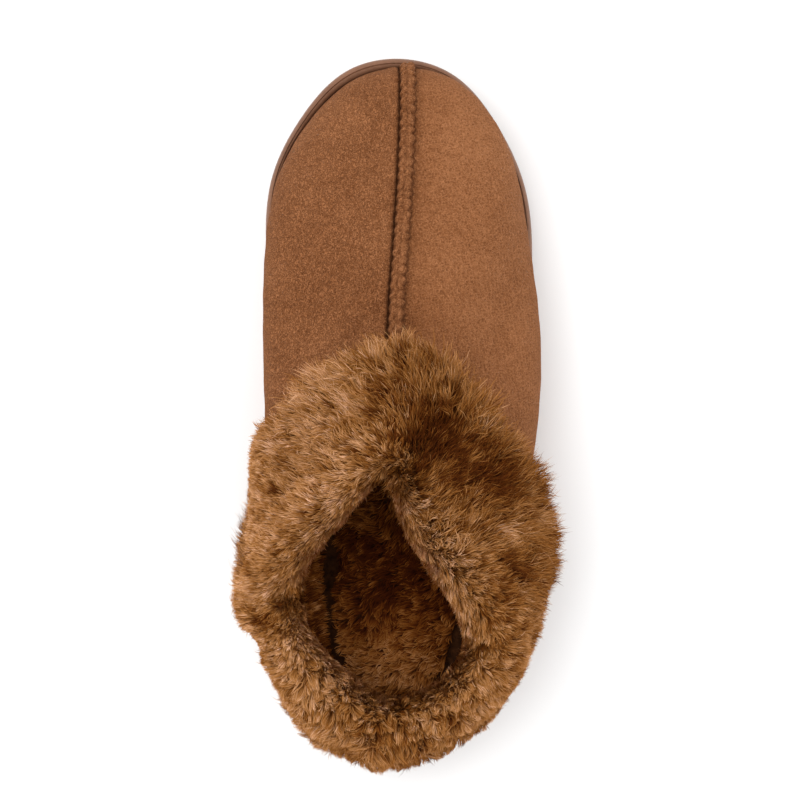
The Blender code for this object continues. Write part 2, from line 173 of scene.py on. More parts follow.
def plan(along, across):
    return np.stack([across * last["ballWidth"], last["heelEnd"] + along * last["soleLength"]], axis=-1)


def soleLine(turn):
    corners = plan(*np.array(soleEdge).T)
    steps = np.linalg.norm(np.roll(corners, -1, axis=0) - corners, axis=1)
    knots = (np.cumsum(steps) - steps) / steps.sum()
    ahead = closedSpline(knots, corners, turn + 1e-4) - closedSpline(knots, corners, turn - 1e-4)
    outward = unit(np.stack([-ahead[..., 1], ahead[..., 0]], axis=-1))
    return closedSpline(knots, corners, turn), outward


def treadHeight(y):
    form = soleForm
    toeEnd = last["heelEnd"] + last["soleLength"]
    toe = np.clip((y - form["foreFlat"][1]) / (toeEnd - form["foreFlat"][1]), 0.0, 1.0)
    arch = np.clip((y - form["heelFlat"][1]) / (form["foreFlat"][0] - form["heelFlat"][1]), 0.0, 1.0)
    heel = np.clip((form["heelFlat"][0] - y) / (form["heelFlat"][0] - last["heelEnd"]), 0.0, 1.0)
    bend = form["archRise"] * np.sin(np.pi * arch) ** 2
    return form["toeSpring"] * toe**2 + bend + form["heelBevel"] * heel**2


def rimHeight(y):
    toe = soleForm["rimToeLift"] * ease((y - soleForm["rimToeStart"]) / soleForm["rimRamp"])
    heel = soleForm["rimHeelLift"] * ease((soleForm["rimHeelStart"] - y) / soleForm["rimRamp"])
    return soleForm["rimHeight"] + toe + heel


def rimWidth(turn):
    middle, halfSpan = soleForm["rimToeTurns"]
    away = np.abs(np.mod(turn - middle + 0.5, 1.0) - 0.5)
    return (soleForm["rimWidth"] + soleForm["rimToeWidth"] * ease(1.0 - away / halfSpan))[:, None]


def upperSheet(turn, shares):
    # points of the upper's outside, one column for each turn and one row for each share
    edge, outward = soleLine(turn)
    foot = edge - outward * (rimWidth(turn) + last["gap"])
    foot = np.column_stack([foot, rimHeight(foot[:, 1])])
    outward = np.column_stack([outward, 0.0 * turn])
    along, across, rise = tableAt(collarEdge, turn)
    height = last["heelHeight"] + rise * (last["instepHeight"] - last["heelHeight"])
    collar = np.column_stack([plan(along, across), height])
    lift, flare, reach, drop = tableAt(lastSections, turn)
    up = np.array([0.0, 0.0, 1.0])
    leave = foot + outward * flare[:, None] + up * lift[:, None]
    back = (foot - collar) * (1.0, 1.0, 0.0) + outward * last["collarSpread"]
    arrive = collar + unit(back) * reach[:, None] - up * drop[:, None]
    t = np.linspace(0.0, 1.0, last["curveSteps"])
    weights = np.stack([(1 - t) ** 3, 3 * t * (1 - t) ** 2, 3 * t * t * (1 - t), t**3])
    curves = np.einsum("kt,kic->itc", weights, np.stack([foot, leave, arrive, collar]))
    reached = np.cumsum(np.linalg.norm(np.diff(curves, axis=1), axis=2), axis=1)
    reached = np.concatenate([np.zeros((len(turn), 1)), reached], axis=1)
    points = np.empty((len(turn), len(shares), 3))
    for i in range(len(turn)):
        for axis in range(3):
            points[i, :, axis] = np.interp(shares * reached[i, -1], reached[i], curves[i, :, axis])
    return points, reached[:, -1]


def sheetNormals(points):
    around = np.roll(points, -1, axis=0) - np.roll(points, 1, axis=0)
    rising = np.gradient(points, axis=1)
    return unit(np.cross(rising, around))


def readSheet(sheet, turn, row):
    # a value between the columns and rows of a sheet; turn goes round it and row runs from 0 to 1
    columns, rows = sheet.shape[:2]
    i = np.mod(turn, 1.0) * columns
    j = np.clip(row, 0.0, 1.0) * (rows - 1)
    i0 = np.floor(i).astype(int)
    j0 = np.minimum(np.floor(j).astype(int), rows - 2)
    fi, fj = (i - i0)[:, None], (j - j0)[:, None]
    i0, i1 = i0 % columns, (i0 + 1) % columns
    lower = sheet[i0, j0] * (1 - fi) + sheet[i1, j0] * fi
    higher = sheet[i0, j0 + 1] * (1 - fi) + sheet[i1, j0 + 1] * fi
    return lower * (1 - fj) + higher * fj


lowCorner = np.array(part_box("outsole")[0])[:2]
solidTurns = np.arange(last["solidColumns"]) / last["solidColumns"]
shoeShift = np.append(lowCorner - soleLine(solidTurns)[0].min(axis=0), 0.0)
print("shoe stands at", np.round(shoeShift * 1000, 2), "mm")


# Meshes from arrays of points, in the shoe's own place

def makePiece(name, points, faces, material, smooth=True):
    # faces is a list of arrays, one for each number of corners
    mesh = bpy.data.meshes.new(name)
    corners = np.concatenate([part.ravel() for part in faces]).astype(np.int32)
    sizes = np.concatenate([np.full(len(part), part.shape[1]) for part in faces])
    points = points.reshape(-1, 3) + shoeShift
    mesh.vertices.add(len(points))
    mesh.vertices.foreach_set("co", points.astype(np.float32).ravel())
    mesh.loops.add(len(corners))
    mesh.loops.foreach_set("vertex_index", corners)
    mesh.polygons.add(len(sizes))
    mesh.polygons.foreach_set("loop_start", (np.cumsum(sizes) - sizes).astype(np.int32))
    mesh.update(calc_edges=True)
    mesh.validate()
    if smooth:
        mesh.shade_smooth()
    mesh.materials.append(material)
    piece = bpy.data.objects.new(name, mesh)
    bpy.context.scene.collection.objects.link(piece)
    return piece


def quadsOf(index):
    corners = [index[:-1, :-1], index[1:, :-1], index[1:, 1:], index[:-1, 1:]]
    return np.stack(corners, axis=-1).reshape(-1, 4)


def gridFaces(rows, columns, wrapRows=False):
    # quads between rings of points, each ring closed
    index = np.arange(rows * columns).reshape(rows, columns)
    if wrapRows:
        index = np.vstack([index, index[:1]])
    return quadsOf(np.hstack([index, index[:, :1]]))


def fillAcross(rings, number, across, start):
    # closes the lowest or the highest ring: points from its right side to its left, and their faces
    ring = rings[number]
    ringStart = number * len(ring)
    half = len(ring) // 2
    right = np.arange(1, half)
    left = len(ring) - right
    mixes = np.linspace(0.0, 1.0, across)[None, :, None]
    sheet = ring[right][:, None] * (1 - mixes) + ring[left][:, None] * mixes
    index = np.arange(len(right) * (across - 2)).reshape(len(right), -1) + start
    index = np.column_stack([right + ringStart, index, left + ringStart])
    toe = np.append(index[0], ringStart)
    heel = np.append(index[-1][::-1], half + ringStart)
    faces = [quadsOf(index), toe[None], heel[None]]
    if number > 0:
        faces = [part[:, ::-1] for part in faces]
    return sheet, faces


def setPointValue(piece, name, values):
    store = piece.data.attributes.new(name, "FLOAT", "POINT")
    store.data.foreach_set("value", np.asarray(values, np.float32).ravel())


def setPointUv(piece, name, uv):
    # one place on the map for each point
    layer = piece.data.uv_layers.new(name=name)
    corner = np.empty(len(piece.data.loops), np.int32)
    piece.data.loops.foreach_get("vertex_index", corner)
    layer.data.foreach_set("uv", uv.reshape(-1, 2)[corner].astype(np.float32).ravel())


def waves(points, scale, seed, layers=4):
    # smooth made-up unevenness between about -1 and 1, from a few crossing waves of one size
    chance = np.random.default_rng(seed)
    total = np.zeros(points.shape[:-1])
    for _ in range(layers):
        direction = unit(chance.normal(size=3))
        pace = 2.0 * np.pi / (scale * chance.uniform(0.7, 1.5))
        total += np.sin(points @ direction * pace + chance.uniform(0.0, 2.0 * np.pi))
    return total / math.sqrt(2.0 * layers)


# Node materials

class NodeBoard:
    # short words for wiring one material
    def __init__(self, name):
        self.material = bpy.data.materials.new(name)
        self.material.use_nodes = True
        self.tree = self.material.node_tree
        self.shader = self.tree.nodes["Principled BSDF"]

    def add(self, kind, **values):
        node = self.tree.nodes.new(kind)
        for key, value in values.items():
            setattr(node, key, value)
        return node

    def link(self, output, entry):
        self.tree.links.new(output, entry)

    def uv(self, name):
        return self.add("ShaderNodeUVMap", uv_map=name).outputs["UV"]

    def place(self):
        return self.add("ShaderNodeTexCoord").outputs["Object"]

    def value(self, name):
        return self.add("ShaderNodeAttribute", attribute_name=name).outputs["Fac"]

    def stretch(self, vector, scale, turn=0.0):
        node = self.add("ShaderNodeMapping")
        node.inputs["Scale"].default_value = scale
        node.inputs["Rotation"].default_value = (0.0, 0.0, math.radians(turn))
        self.link(vector, node.inputs["Vector"])
        return node.outputs["Vector"]

    def noise(self, vector, scale, detail=2.0, roughness=0.5, distortion=0.0):
        node = self.add("ShaderNodeTexNoise")
        for key, value in (("Scale", scale), ("Detail", detail), ("Roughness", roughness),
                           ("Distortion", distortion)):
            node.inputs[key].default_value = value
        self.link(vector, node.inputs["Vector"])
        return node.outputs["Fac"]

    def cells(self, vector, scale, randomness=1.0):
        node = self.add("ShaderNodeTexVoronoi")
        node.inputs["Scale"].default_value = scale
        node.inputs["Randomness"].default_value = randomness
        self.link(vector, node.inputs["Vector"])
        return node.outputs["Distance"]

    def math(self, operation, *entries):
        node = self.add("ShaderNodeMath", operation=operation)
        for socket, entry in zip(node.inputs, entries):
            if isinstance(entry, (int, float)):
                socket.default_value = entry
            else:
                self.link(entry, socket)
        return node.outputs["Value"]

    def span(self, value, low, high, newLow=0.0, newHigh=1.0):
        node = self.add("ShaderNodeMapRange", clamp=True)
        for key, number in (("From Min", low), ("From Max", high), ("To Min", newLow), ("To Max", newHigh)):
            node.inputs[key].default_value = number
        self.link(value, node.inputs["Value"])
        return node.outputs["Result"]

    def ramp(self, value, stops):
        node = self.add("ShaderNodeValToRGB")
        points = node.color_ramp.elements
        while len(points) < len(stops):
            points.new(0.5)
        for point, (place, colour) in zip(points, stops):
            point.position = place
            point.color = (*colour, 1.0)
        self.link(value, node.inputs["Fac"])
        return node.outputs["Color"]

    def mix(self, blend, factor, first, second):
        node = self.add("ShaderNodeMix", data_type="RGBA", blend_type=blend)
        for socket, entry in ((node.inputs[0], factor), (node.inputs[6], first), (node.inputs[7], second)):
            if isinstance(entry, (int, float)):
                socket.default_value = entry
            elif isinstance(entry, tuple):
                socket.default_value = (*entry, 1.0)
            else:
                self.link(entry, socket)
        return node.outputs[2]

    def bump(self, height, distance, strength=1.0, under=None):
        node = self.add("ShaderNodeBump")
        node.inputs["Distance"].default_value = distance
        node.inputs["Strength"].default_value = strength
        self.link(height, node.inputs["Height"])
        if under is not None:
            self.link(under, node.inputs["Normal"])
        return node.outputs["Normal"]

    def finish(self, colour, normal=None, roughness=None, **fixed):
        self.link(colour, self.shader.inputs["Base Color"])
        if normal is not None:
            self.link(normal, self.shader.inputs["Normal"])
        if roughness is not None:
            self.link(roughness, self.shader.inputs["Roughness"])
        for key, value in fixed.items():
            self.shader.inputs[key.replace("_", " ")].default_value = value
        return self.material


suedeLook = {
    "dark": (0.080, 0.023, 0.006),
    "middle": (0.205, 0.073, 0.025),
    "light": (0.380, 0.160, 0.068),
    "roughness": 0.95,
    "napDepth": 0.0006,
    "rightSide": (0.2, 0.6),  # centimetres from the seam over which the right side's dots begin
    "dotted": 0.55,
    "patternTone": 0.42,
    "grainTone": 0.46,
    "cloudTone": 0.12,
    "blotTone": 0.04,
    "sideTone": (-0.06, -0.02),  # left and right of the seam
    "sheen": (0.80, 0.45, 0.25, 1.0),
}


def makeSuede(name):
    # the nap map is in centimetres: across from the seam, and up from the sole
    look = suedeLook
    board = NodeBoard(name)
    side = board.add("ShaderNodeSeparateXYZ")
    board.link(board.uv("napMap"), side.inputs["Vector"])
    right = board.span(side.outputs["X"], *look["rightSide"])
    nap = board.stretch(board.place(), (100.0, 100.0, 100.0))
    cloud = board.noise(nap, 0.7, 3.0, 0.6)  # patches where the nap lies another way
    blot = board.noise(nap, 3.0, 2.0, 0.5, 0.4)
    worm = board.stretch(nap, (1.0, 0.75, 1.0), 20.0)  # short curled strokes
    worm = board.noise(worm, 12.0, 1.0, 0.5, 1.2)
    worm = board.math("ABSOLUTE", board.math("SUBTRACT", worm, 0.5))
    worm = board.span(worm, 0.0, 0.12)
    grain = board.noise(nap, 24.0, 2.0, 0.6)
    row = board.cells(board.stretch(nap, (9.0, 9.6, 9.0), -9.0), 1.0, 0.60)  # knitted rows of small dots
    dot = board.span(row, 0.10, 0.56)
    pattern = board.add("ShaderNodeMix", data_type="FLOAT")
    board.link(board.math("MULTIPLY", right, look["dotted"]), pattern.inputs[0])
    board.link(worm, pattern.inputs[2])
    board.link(dot, pattern.inputs[3])
    pattern = pattern.outputs[0]
    tone = board.math("MULTIPLY", pattern, look["patternTone"])
    for part in (
        board.span(grain, 0.28, 0.72, 0.0, look["grainTone"]),
        board.span(cloud, 0.30, 0.70, 0.0, look["cloudTone"]),
        board.span(blot, 0.30, 0.70, 0.0, look["blotTone"]),
        # painted light and shade set on each point of the upper and the seam, with the nap's own patches
        board.value("shade"),
        board.span(right, 0.0, 1.0, *look["sideTone"]),
    ):
        tone = board.math("ADD", tone, part)
    colour = board.ramp(tone, [(0.08, look["dark"]), (0.50, look["middle"]), (0.95, look["light"])])
    normal = board.bump(grain, look["napDepth"], 0.8)
    normal = board.bump(pattern, look["napDepth"], 0.6, normal)
    return board.finish(colour, normal, Roughness=look["roughness"], Specular_IOR_Level=0.08,
                        Sheen_Weight=0.06, Sheen_Roughness=0.5, Sheen_Tint=look["sheen"])


rubberLook = {
    "dark": (0.130, 0.055, 0.027),
    "light": (0.225, 0.105, 0.056),
    "roughness": (0.46, 0.60),
    "dustScale": 60.0,
    "speckScale": 900.0,
    "speckDepth": 0.00025,
}


def makeRubber(name):
    board = NodeBoard(name)
    place = board.place()
    dust = board.noise(place, rubberLook["dustScale"], 4.0, 0.6)
    speck = board.noise(place, rubberLook["speckScale"], 2.0, 0.5)
    tone = board.math("ADD", board.math("MULTIPLY", dust, 0.7), board.math("MULTIPLY", speck, 0.3))
    colour = board.ramp(tone, [(0.30, rubberLook["dark"]), (0.68, rubberLook["light"])])
    normal = board.bump(speck, rubberLook["speckDepth"], 0.35)
    rough = board.span(dust, 0.3, 0.7, *rubberLook["roughness"])
    return board.finish(colour, normal, rough, Specular_IOR_Level=0.30)


furLook = {
    # the dark roots are partly painted shade deep in the pile
    "root": (0.066, 0.019, 0.003),
    "middle": (0.170, 0.056, 0.011),
    "tip": (0.500, 0.236, 0.086),
    "fleeceRoot": (0.034, 0.009, 0.001),
    "fleeceMiddle": (0.150, 0.041, 0.005),
    "fleeceTip": (0.400, 0.150, 0.036),
    "roughness": 0.75,
    "brightness": (0.15, 1.65),  # of the darkest and the lightest hair
    "tintPowers": (1.0, 1.42, 2.5),  # the darker a hair, the redder
}


def makeHair(name, root, middle, tip):
    # every hair lies on the map from root to tip, and further right the lighter it is
    board = NodeBoard(name)
    parts = board.add("ShaderNodeSeparateXYZ")
    board.link(board.uv("OFBake"), parts.inputs["Vector"])
    colour = board.ramp(parts.outputs["Y"], [(0.0, root), (0.45, middle), (0.95, tip)])
    shade = board.span(parts.outputs["X"], 0.0, 1.0, *furLook["brightness"])
    tint = board.add("ShaderNodeCombineXYZ")
    for socket, power in zip(tint.inputs, furLook["tintPowers"]):
        board.link(board.math("POWER", shade, power), socket)
    colour = board.mix("MULTIPLY", 1.0, colour, tint.outputs["Vector"])
    return board.finish(colour, Roughness=furLook["roughness"], Specular_IOR_Level=0.06)


hideLook = {
    "furDark": (0.130, 0.042, 0.009),
    "furLight": (0.230, 0.085, 0.024),
    "fleeceDark": (0.014, 0.004, 0.001),
    "fleeceLight": (0.050, 0.016, 0.004),
    "inside": (0.16, 0.12, 0.10),  # painted shade: what the backing is darkened by inside the opening
    "grainDepth": 0.001,
}


def makeHide(name, dark, light):
    board = NodeBoard(name)
    tone = board.noise(board.place(), 420.0, 3.0, 0.6)
    colour = board.ramp(tone, [(0.30, dark), (0.70, light)])
    # painted shade inside the opening, where the attribute inside is set
    colour = board.mix("MULTIPLY", board.value("inside"), colour, hideLook["inside"])
    normal = board.bump(tone, hideLook["grainDepth"], 0.8)
    return board.finish(colour, normal, Roughness=0.95, Specular_IOR_Level=0.1)


suede = makeSuede("brushedSuede")
rubber = makeRubber("mouldedRubber")
furHair = makeHair("furHair", furLook["root"], furLook["middle"], furLook["tip"])
fleeceHair = makeHair("fleeceHair", furLook["fleeceRoot"], furLook["fleeceMiddle"], furLook["fleeceTip"])
furHide = makeHide("furBacking", hideLook["furDark"], hideLook["furLight"])
fleeceHide = makeHide("fleeceBacking", hideLook["fleeceDark"], hideLook["fleeceLight"])
print("materials made")


# Sole

soleLook = {
    "columns": 320,
    "across": 26,  # points across the underside
    "rollWidth": 0.0013,  # the rim's outer roll, the same all round
    "grooveWidth": 0.003,
    "grooveDepth": 0.0022,
    "groovePitch": 0.0125,
    "grooveMargin": 0.011,
    "foreGrooves": (0.002, 7),  # place of the first one and how many
    "heelGrooves": (-0.0975, 3),
    "sharpAngle": 38.0,
}

soleSide = [
    # inset from the edge, share of the height from the tread to the rim
    (0.0032, 0.00),
    (0.0022, 0.03),
    (0.0009, 0.10),
    (0.0003, 0.20),
    (0.0000, 0.36),
    (0.0000, 0.50),
    (0.0001, 0.58),
    (0.0005, 0.61),
    (0.0011, 0.64),  # the line moulded round the side
    (0.0005, 0.67),
    (0.0001, 0.70),
    (0.0001, 0.80),
    (0.0003, 0.88),
    (0.0007, 0.95),
    (0.0013, 0.99),
    (0.0017, 1.00),
    (0.0019, 0.975),  # a fine line on the rim's top
    (0.0021, 0.995),
    (0.0025, 0.99),
    (0.0029, 0.96),
    (0.0032, 0.90),
]


def makeSole():
    look = soleLook
    turn = np.arange(look["columns"]) / look["columns"]
    edge, outward = soleLine(turn)
    rings = []
    wider = (rimWidth(turn) - soleForm["rimWidth"]) / (soleForm["rimWidth"] - look["rollWidth"])
    for inset, part in soleSide:
        place = edge - outward * (inset + wider * max(inset - look["rollWidth"], 0.0))
        low, high = treadHeight(place[:, 1]), rimHeight(place[:, 1])
        rings.append(np.column_stack([place, low + (high - low) * part]))
    inside = edge - outward * rimWidth(turn)
    rings.append(np.column_stack([inside, rimHeight(inside[:, 1]) - soleForm["cupDepth"]]))
    points = [np.concatenate(rings)]
    faces = [gridFaces(len(rings), look["columns"])]
    start = len(points[0])
    for number in (0, len(rings) - 1):
        sheet, closing = fillAcross(rings, number, look["across"], start)
        inner = sheet[:, 1:-1]
        if number > 0:
            inner[..., 2] = rimHeight(inner[..., 1]) - soleForm["cupDepth"]
        else:
            inner[..., 2] = treadHeight(inner[..., 1])
        points.append(inner.reshape(-1, 3))
        faces += closing
        start += len(points[-1])
    sole = makePiece("moulded_sole", np.concatenate(points), faces, rubber)
    cutTread(sole, edge)
    sole.data.set_sharp_from_angle(angle=math.radians(look["sharpAngle"]))
    return sole


def cutTread(sole, edge):
    look = soleLook
    box = np.array([[x, y, z] for z in (-1, 1) for y in (-1, 1) for x in (-1, 1)], float)
    sides = np.array([(0, 2, 3, 1), (4, 5, 7, 6), (0, 1, 5, 4), (2, 6, 7, 3), (0, 4, 6, 2), (1, 3, 7, 5)])
    points, faces = [], []
    for first, count in (look["foreGrooves"], look["heelGrooves"]):
        for y in first + look["groovePitch"] * np.arange(count):
            across = edge[np.abs(edge[:, 1] - y) < look["groovePitch"]][:, 0]
            left, right = across.min() + look["grooveMargin"], across.max() - look["grooveMargin"]
            size = np.array([(right - left) / 2, look["grooveWidth"] / 2, look["grooveDepth"]])
            faces.append(sides + 8 * len(points))
            points.append(box * size + ((left + right) / 2, y, treadHeight(y)))
    cutter = makePiece("treadCutter", np.concatenate(points), [np.concatenate(faces)], rubber, smooth=False)
    cut = sole.modifiers.new("tread", "BOOLEAN")
    cut.object = cutter
    cut.operation = "DIFFERENCE"
    cut.solver = "EXACT"
    graph = bpy.context.evaluated_depsgraph_get()
    carved = bpy.data.meshes.new_from_object(sole.evaluated_get(graph))
    sole.modifiers.remove(cut)
    old = sole.data
    sole.data = carved
    bpy.data.meshes.remove(old)
    bpy.data.objects.remove(cutter, do_unlink=True)


sole = makeSole()
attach(sole, "root")
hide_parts("outsole")
print("sole:", len(sole.data.polygons), "faces")


# Upper

upperLook = {
    "columns": 300,
    "crowd": 0.86,  # how much closer the columns stand at the seam than at the heel
    "rowsSeen": 120,
    "rowsUnder": 12,
    "rowsInside": 24,
    "seenShare": 0.83,
    "seamHalfWidth": 0.0029,
    "grooveDepth": 0.0018,
    "grooveWidth": 0.0007,
    "grooveWaver": 0.0002,
    "rollHeight": 0.0005,
    "rollWidth": 0.0024,
    "puckerPitch": 0.0042,
    "puckerDepth": 0.00045,
    "puckerReach": 0.0042,
    "puckerSlant": 0.9,
    "puckerStart": 0.008,  # the puckers grow over this length from the toe
    "tuckDepth": 0.0009,  # where the suede goes down behind the sole's rim
    "tuckReach": 0.0016,
    "seamBow": 0.0011,  # how far the seam bows to the right, and over what length
    "seamBowLength": 0.100,
    "unevenness": 0.00012,
    # painted shade in the groove beside the seam, in the puckers and where the suede tucks behind the rim
    "groovePaintedShade": 0.34,
    "puckerPaintedShade": 0.14,
    "tuckPaintedShade": 0.10,
}

creases = [
    # place across and along, direction, half length, half width, depth, all in millimetres and degrees
    (-33.0, 36.0, 75.0, 26.0, 6.0, 0.7),  # flex line at the big toe's joint
    (-17.0, 52.0, 60.0, 22.0, 7.0, 0.5),
    (24.0, 48.0, 112.0, 24.0, 7.0, 0.5),
    (38.0, 30.0, 100.0, 22.0, 6.0, 0.6),  # flex line at the little toe's joint
    (-24.0, 92.0, 40.0, 18.0, 8.0, -0.5),  # fullness over the toes
    (22.0, 96.0, 130.0, 18.0, 8.0, -0.5),
]

suedeLightShadeAndTone = [
    # place across and along, radius, all in millimetres, and how much lighter: painted light on the toe and
    # painted shade in front of the fur, with the nap's own lighter and darker patches
    (34.0, 104.0, 26.0, 0.12),
    (-30.0, 112.0, 18.0, 0.05),
    (22.0, 60.0, 22.0, 0.05),
    (-26.0, 44.0, 18.0, -0.03),
    (-32.0, 20.0, 12.0, 0.04),
    (6.0, 36.0, 16.0, -0.06),
    (36.0, 22.0, 16.0, 0.02),
    (-14.0, 74.0, 14.0, 0.03),
]


def spread(points, across, along, radius):
    distance = np.hypot(points[..., 0] * 1000 - across, points[..., 1] * 1000 - along)
    return np.exp(-((distance / radius) ** 2))


def acrossSeam(points, turn):
    # distance across the surface from the centre line, to the right
    steps = np.linalg.norm(np.roll(points, -1, axis=0) - points, axis=2)
    gone = np.cumsum(steps, axis=0) - steps
    return np.where((turn < 0.5)[:, None], gone, gone - steps.sum(axis=0))


def seamBow(along):
    share = np.clip(along / upperLook["seamBowLength"], 0.0, 1.0)
    return upperLook["seamBow"] * np.sin(np.pi * share)


def creaseDepth(points):
    total = np.zeros(points.shape[:-1])
    for across, along, direction, length, width, depth in creases:
        x, y = points[..., 0] * 1000 - across, points[..., 1] * 1000 - along
        swing = math.radians(direction)
        ahead = x * math.cos(swing) + y * math.sin(swing)
        aside = -x * math.sin(swing) + y * math.cos(swing)
        total += depth * 0.001 * np.exp(-((ahead / length) ** 2) - (aside / width) ** 2)
    return total


def makeUpper():
    look = upperLook
    step = np.arange(look["columns"]) / look["columns"]
    turn = step - look["crowd"] * np.sin(2 * np.pi * step) / (2 * np.pi)
    seen = np.linspace(0.0, look["seenShare"], look["rowsSeen"])
    shares = np.append(seen, np.linspace(look["seenShare"], 1.0, look["rowsUnder"] + 1)[1:])
    points, length = upperSheet(turn, shares)
    normals = sheetNormals(points)
    across = acrossSeam(points, turn)
    along = shares[None, :] * length[:, None]
    across = across - seamBow(along)
    left = across + look["seamHalfWidth"]
    left = left + look["grooveWaver"] * np.sin(2 * np.pi * along / look["puckerPitch"])
    move = -look["grooveDepth"] * np.exp(-((left / look["grooveWidth"]) ** 2))
    move += look["rollHeight"] * np.exp(-(((left + look["rollWidth"]) / look["rollWidth"]) ** 2))
    right = across - look["seamHalfWidth"]
    beside = np.maximum(right, 0.0)
    phase = (along + look["puckerSlant"] * beside) / look["puckerPitch"]
    pinch = np.cos(2 * np.pi * phase) ** 2 * np.exp(-beside / look["puckerReach"])
    onRight = right > -look["seamHalfWidth"]
    move -= look["puckerDepth"] * pinch * onRight * ease(along / look["puckerStart"])
    move -= look["tuckDepth"] * np.exp(-((along / look["tuckReach"]) ** 2))
    move -= creaseDepth(points)
    move += look["unevenness"] * waves(points, 0.009, 3)
    outside = points + normals * move[..., None]
    drop = np.array([0.0, 0.0, soleForm["cupDepth"] - last["gap"]])
    inner = np.round(np.linspace(len(shares) - 1, 0, look["rowsInside"])).astype(int)
    inside = (points - normals * last["wall"])[:, inner]
    rings = [points[:, 0] - drop]
    rings += [outside[:, row] for row in range(len(shares))]
    rings += [inside[:, row] for row in range(len(inner))]
    rings += [inside[:, -1] - drop]
    rings = np.stack(rings)
    upper = makePiece("suede_upper", rings, [gridFaces(*rings.shape[:2], wrapRows=True)], suede)
    # painted light and shade in patches over the suede, with the nap's own patches
    shade = sum(value * spread(points, x, y, radius) for x, y, radius, value in suedeLightShadeAndTone)
    # painted shade in the groove, the puckers and the tuck
    shade -= look["groovePaintedShade"] * np.exp(-((left / (1.3 * look["grooveWidth"])) ** 2))
    shade -= look["puckerPaintedShade"] * pinch * (right > 0)
    shade -= look["tuckPaintedShade"] * np.exp(-((along / 0.002) ** 2))
    rowOf = np.concatenate([[0], np.arange(len(shares)), inner, [0]])
    setPointValue(upper, "shade", shade[:, rowOf].T)
    uv = np.stack([across, along], axis=-1)[:, rowOf].transpose(1, 0, 2)
    setPointUv(upper, "napMap", uv * 100)
    return upper


upper = makeUpper()
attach(upper, "root")
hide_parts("upper")
print("upper:", len(upper.data.polygons), "faces")


# Seam down the vamp: two rolls, pinched by the stitches

seamLook = {
    "halfWidth": 0.0029,
    "height": 0.0024,
    "toeGap": 0.0004,
    "cuffReach": 0.004,  # how far it runs on under the fur
    "pitch": 0.0042,
    "rows": 430,
    "across": 34,
    "sink": 0.0012,
    "beadPlace": 0.36,  # middles of the two rolls, as shares of the half width
    "rollPlace": -0.42,
    "rollBehind": 0.40,  # how far the left roll's pinches stand behind the beads, and their slant
    "rollSlant": 0.55,
    "rollHeight": 0.90,
    "bedHeight": 0.40,
    "wobble": 0.10,
    "toeRamp": 0.003,
    "shade": 0.12,
    # painted shade in the pinches between the beads
    "pinchPaintedShade": 0.50,
}


def seamHeight(across, along):
    # height as a share of the seam's: round beads on the right, a softer slanting roll on the left
    look = seamLook
    phase = along / look["pitch"]
    phase = phase + 0.16 * np.sin(along / 0.0021) + 0.10 * np.sin(along / 0.0013 + 1.0)
    bead = (phase - np.floor(phase) - 0.5) * 2.0
    leftPhase = phase + look["rollBehind"] + look["rollSlant"] * across
    leftBead = (leftPhase - np.floor(leftPhase) - 0.5) * 2.0
    gap = 0.40 + 0.55 * np.clip(across, 0.0, 1.0)
    right = 1.0 - ((across - look["beadPlace"]) / 0.64) ** 2 - gap * bead**2
    left = 1.0 - ((across - look["rollPlace"]) / 0.58) ** 2 - 0.50 * leftBead**2
    right, left, bed = (np.clip(part, 0.0, 1.0) ** 0.5 for part in (right, left, 1.0 - across**2))
    return np.maximum(np.maximum(right, look["rollHeight"] * left), look["bedHeight"] * bed)


def readAcross(place, reach, values):
    return np.stack([np.interp(place, reach, part) for part in values.T], axis=-1)


def makeSeam():
    look = seamLook
    length = float(upperSheet(np.zeros(1), np.array([0.0, 1.0]))[1][0])
    flap = float(tableAt(cuffSections, np.zeros(1))[0, 0])
    shares = np.linspace(look["toeGap"] / length, 1.0 - (flap - look["cuffReach"]) / length, look["rows"])
    across = np.sin(np.linspace(-1.0, 1.0, look["across"]) * np.pi / 2)
    turn = np.linspace(-0.02, 0.02, 81)
    sheet, _ = upperSheet(turn, shares)
    normals = unit(np.cross(np.gradient(sheet, axis=1), np.gradient(sheet, axis=0)))
    steps = np.linalg.norm(np.diff(sheet, axis=0), axis=2)
    reach = np.concatenate([np.zeros((1, len(shares))), np.cumsum(steps, axis=0)])
    reach -= reach[len(turn) // 2]
    along = shares * length
    rings = np.empty((len(shares), look["across"], 3))
    wobble = look["wobble"] * np.sin(2 * np.pi * along / look["pitch"]) * look["halfWidth"]
    for row in range(len(shares)):
        place = across * look["halfWidth"] + wobble[row] * np.abs(across) + seamBow(along[row])
        centre = readAcross(place, reach[:, row], sheet[:, row])
        normal = readAcross(place, reach[:, row], normals[:, row])
        toeEnd = ease((along[row] - along[0]) / look["toeRamp"]) ** 0.5
        height = seamHeight(across, along[row]) * look["height"] * (0.25 + 0.75 * toeEnd)
        height[0] = height[-1] = -look["sink"]
        height[1] = min(height[1], 0.0)
        rings[row] = centre + unit(normal) * height[:, None]
    faces = [gridFaces(len(shares), look["across"])]
    caps = np.arange(len(shares) * look["across"]).reshape(len(shares), -1)
    faces += [caps[:1], caps[-1:, ::-1]]
    seam = makePiece("stitched_seam", rings, faces, suede)
    bead = np.stack([seamHeight(across, distance) for distance in along])
    # painted shade in the pinches between the beads
    shade = look["shade"] - look["pinchPaintedShade"] * (1.0 - np.clip(bead, 0.0, 1.0)) ** 1.2
    setPointValue(seam, "shade", shade)
    uv = np.stack(np.broadcast_arrays(across[None, :] * look["halfWidth"], along[:, None]), axis=-1)
    setPointUv(seam, "napMap", uv * 100)
    return seam


# Cuff

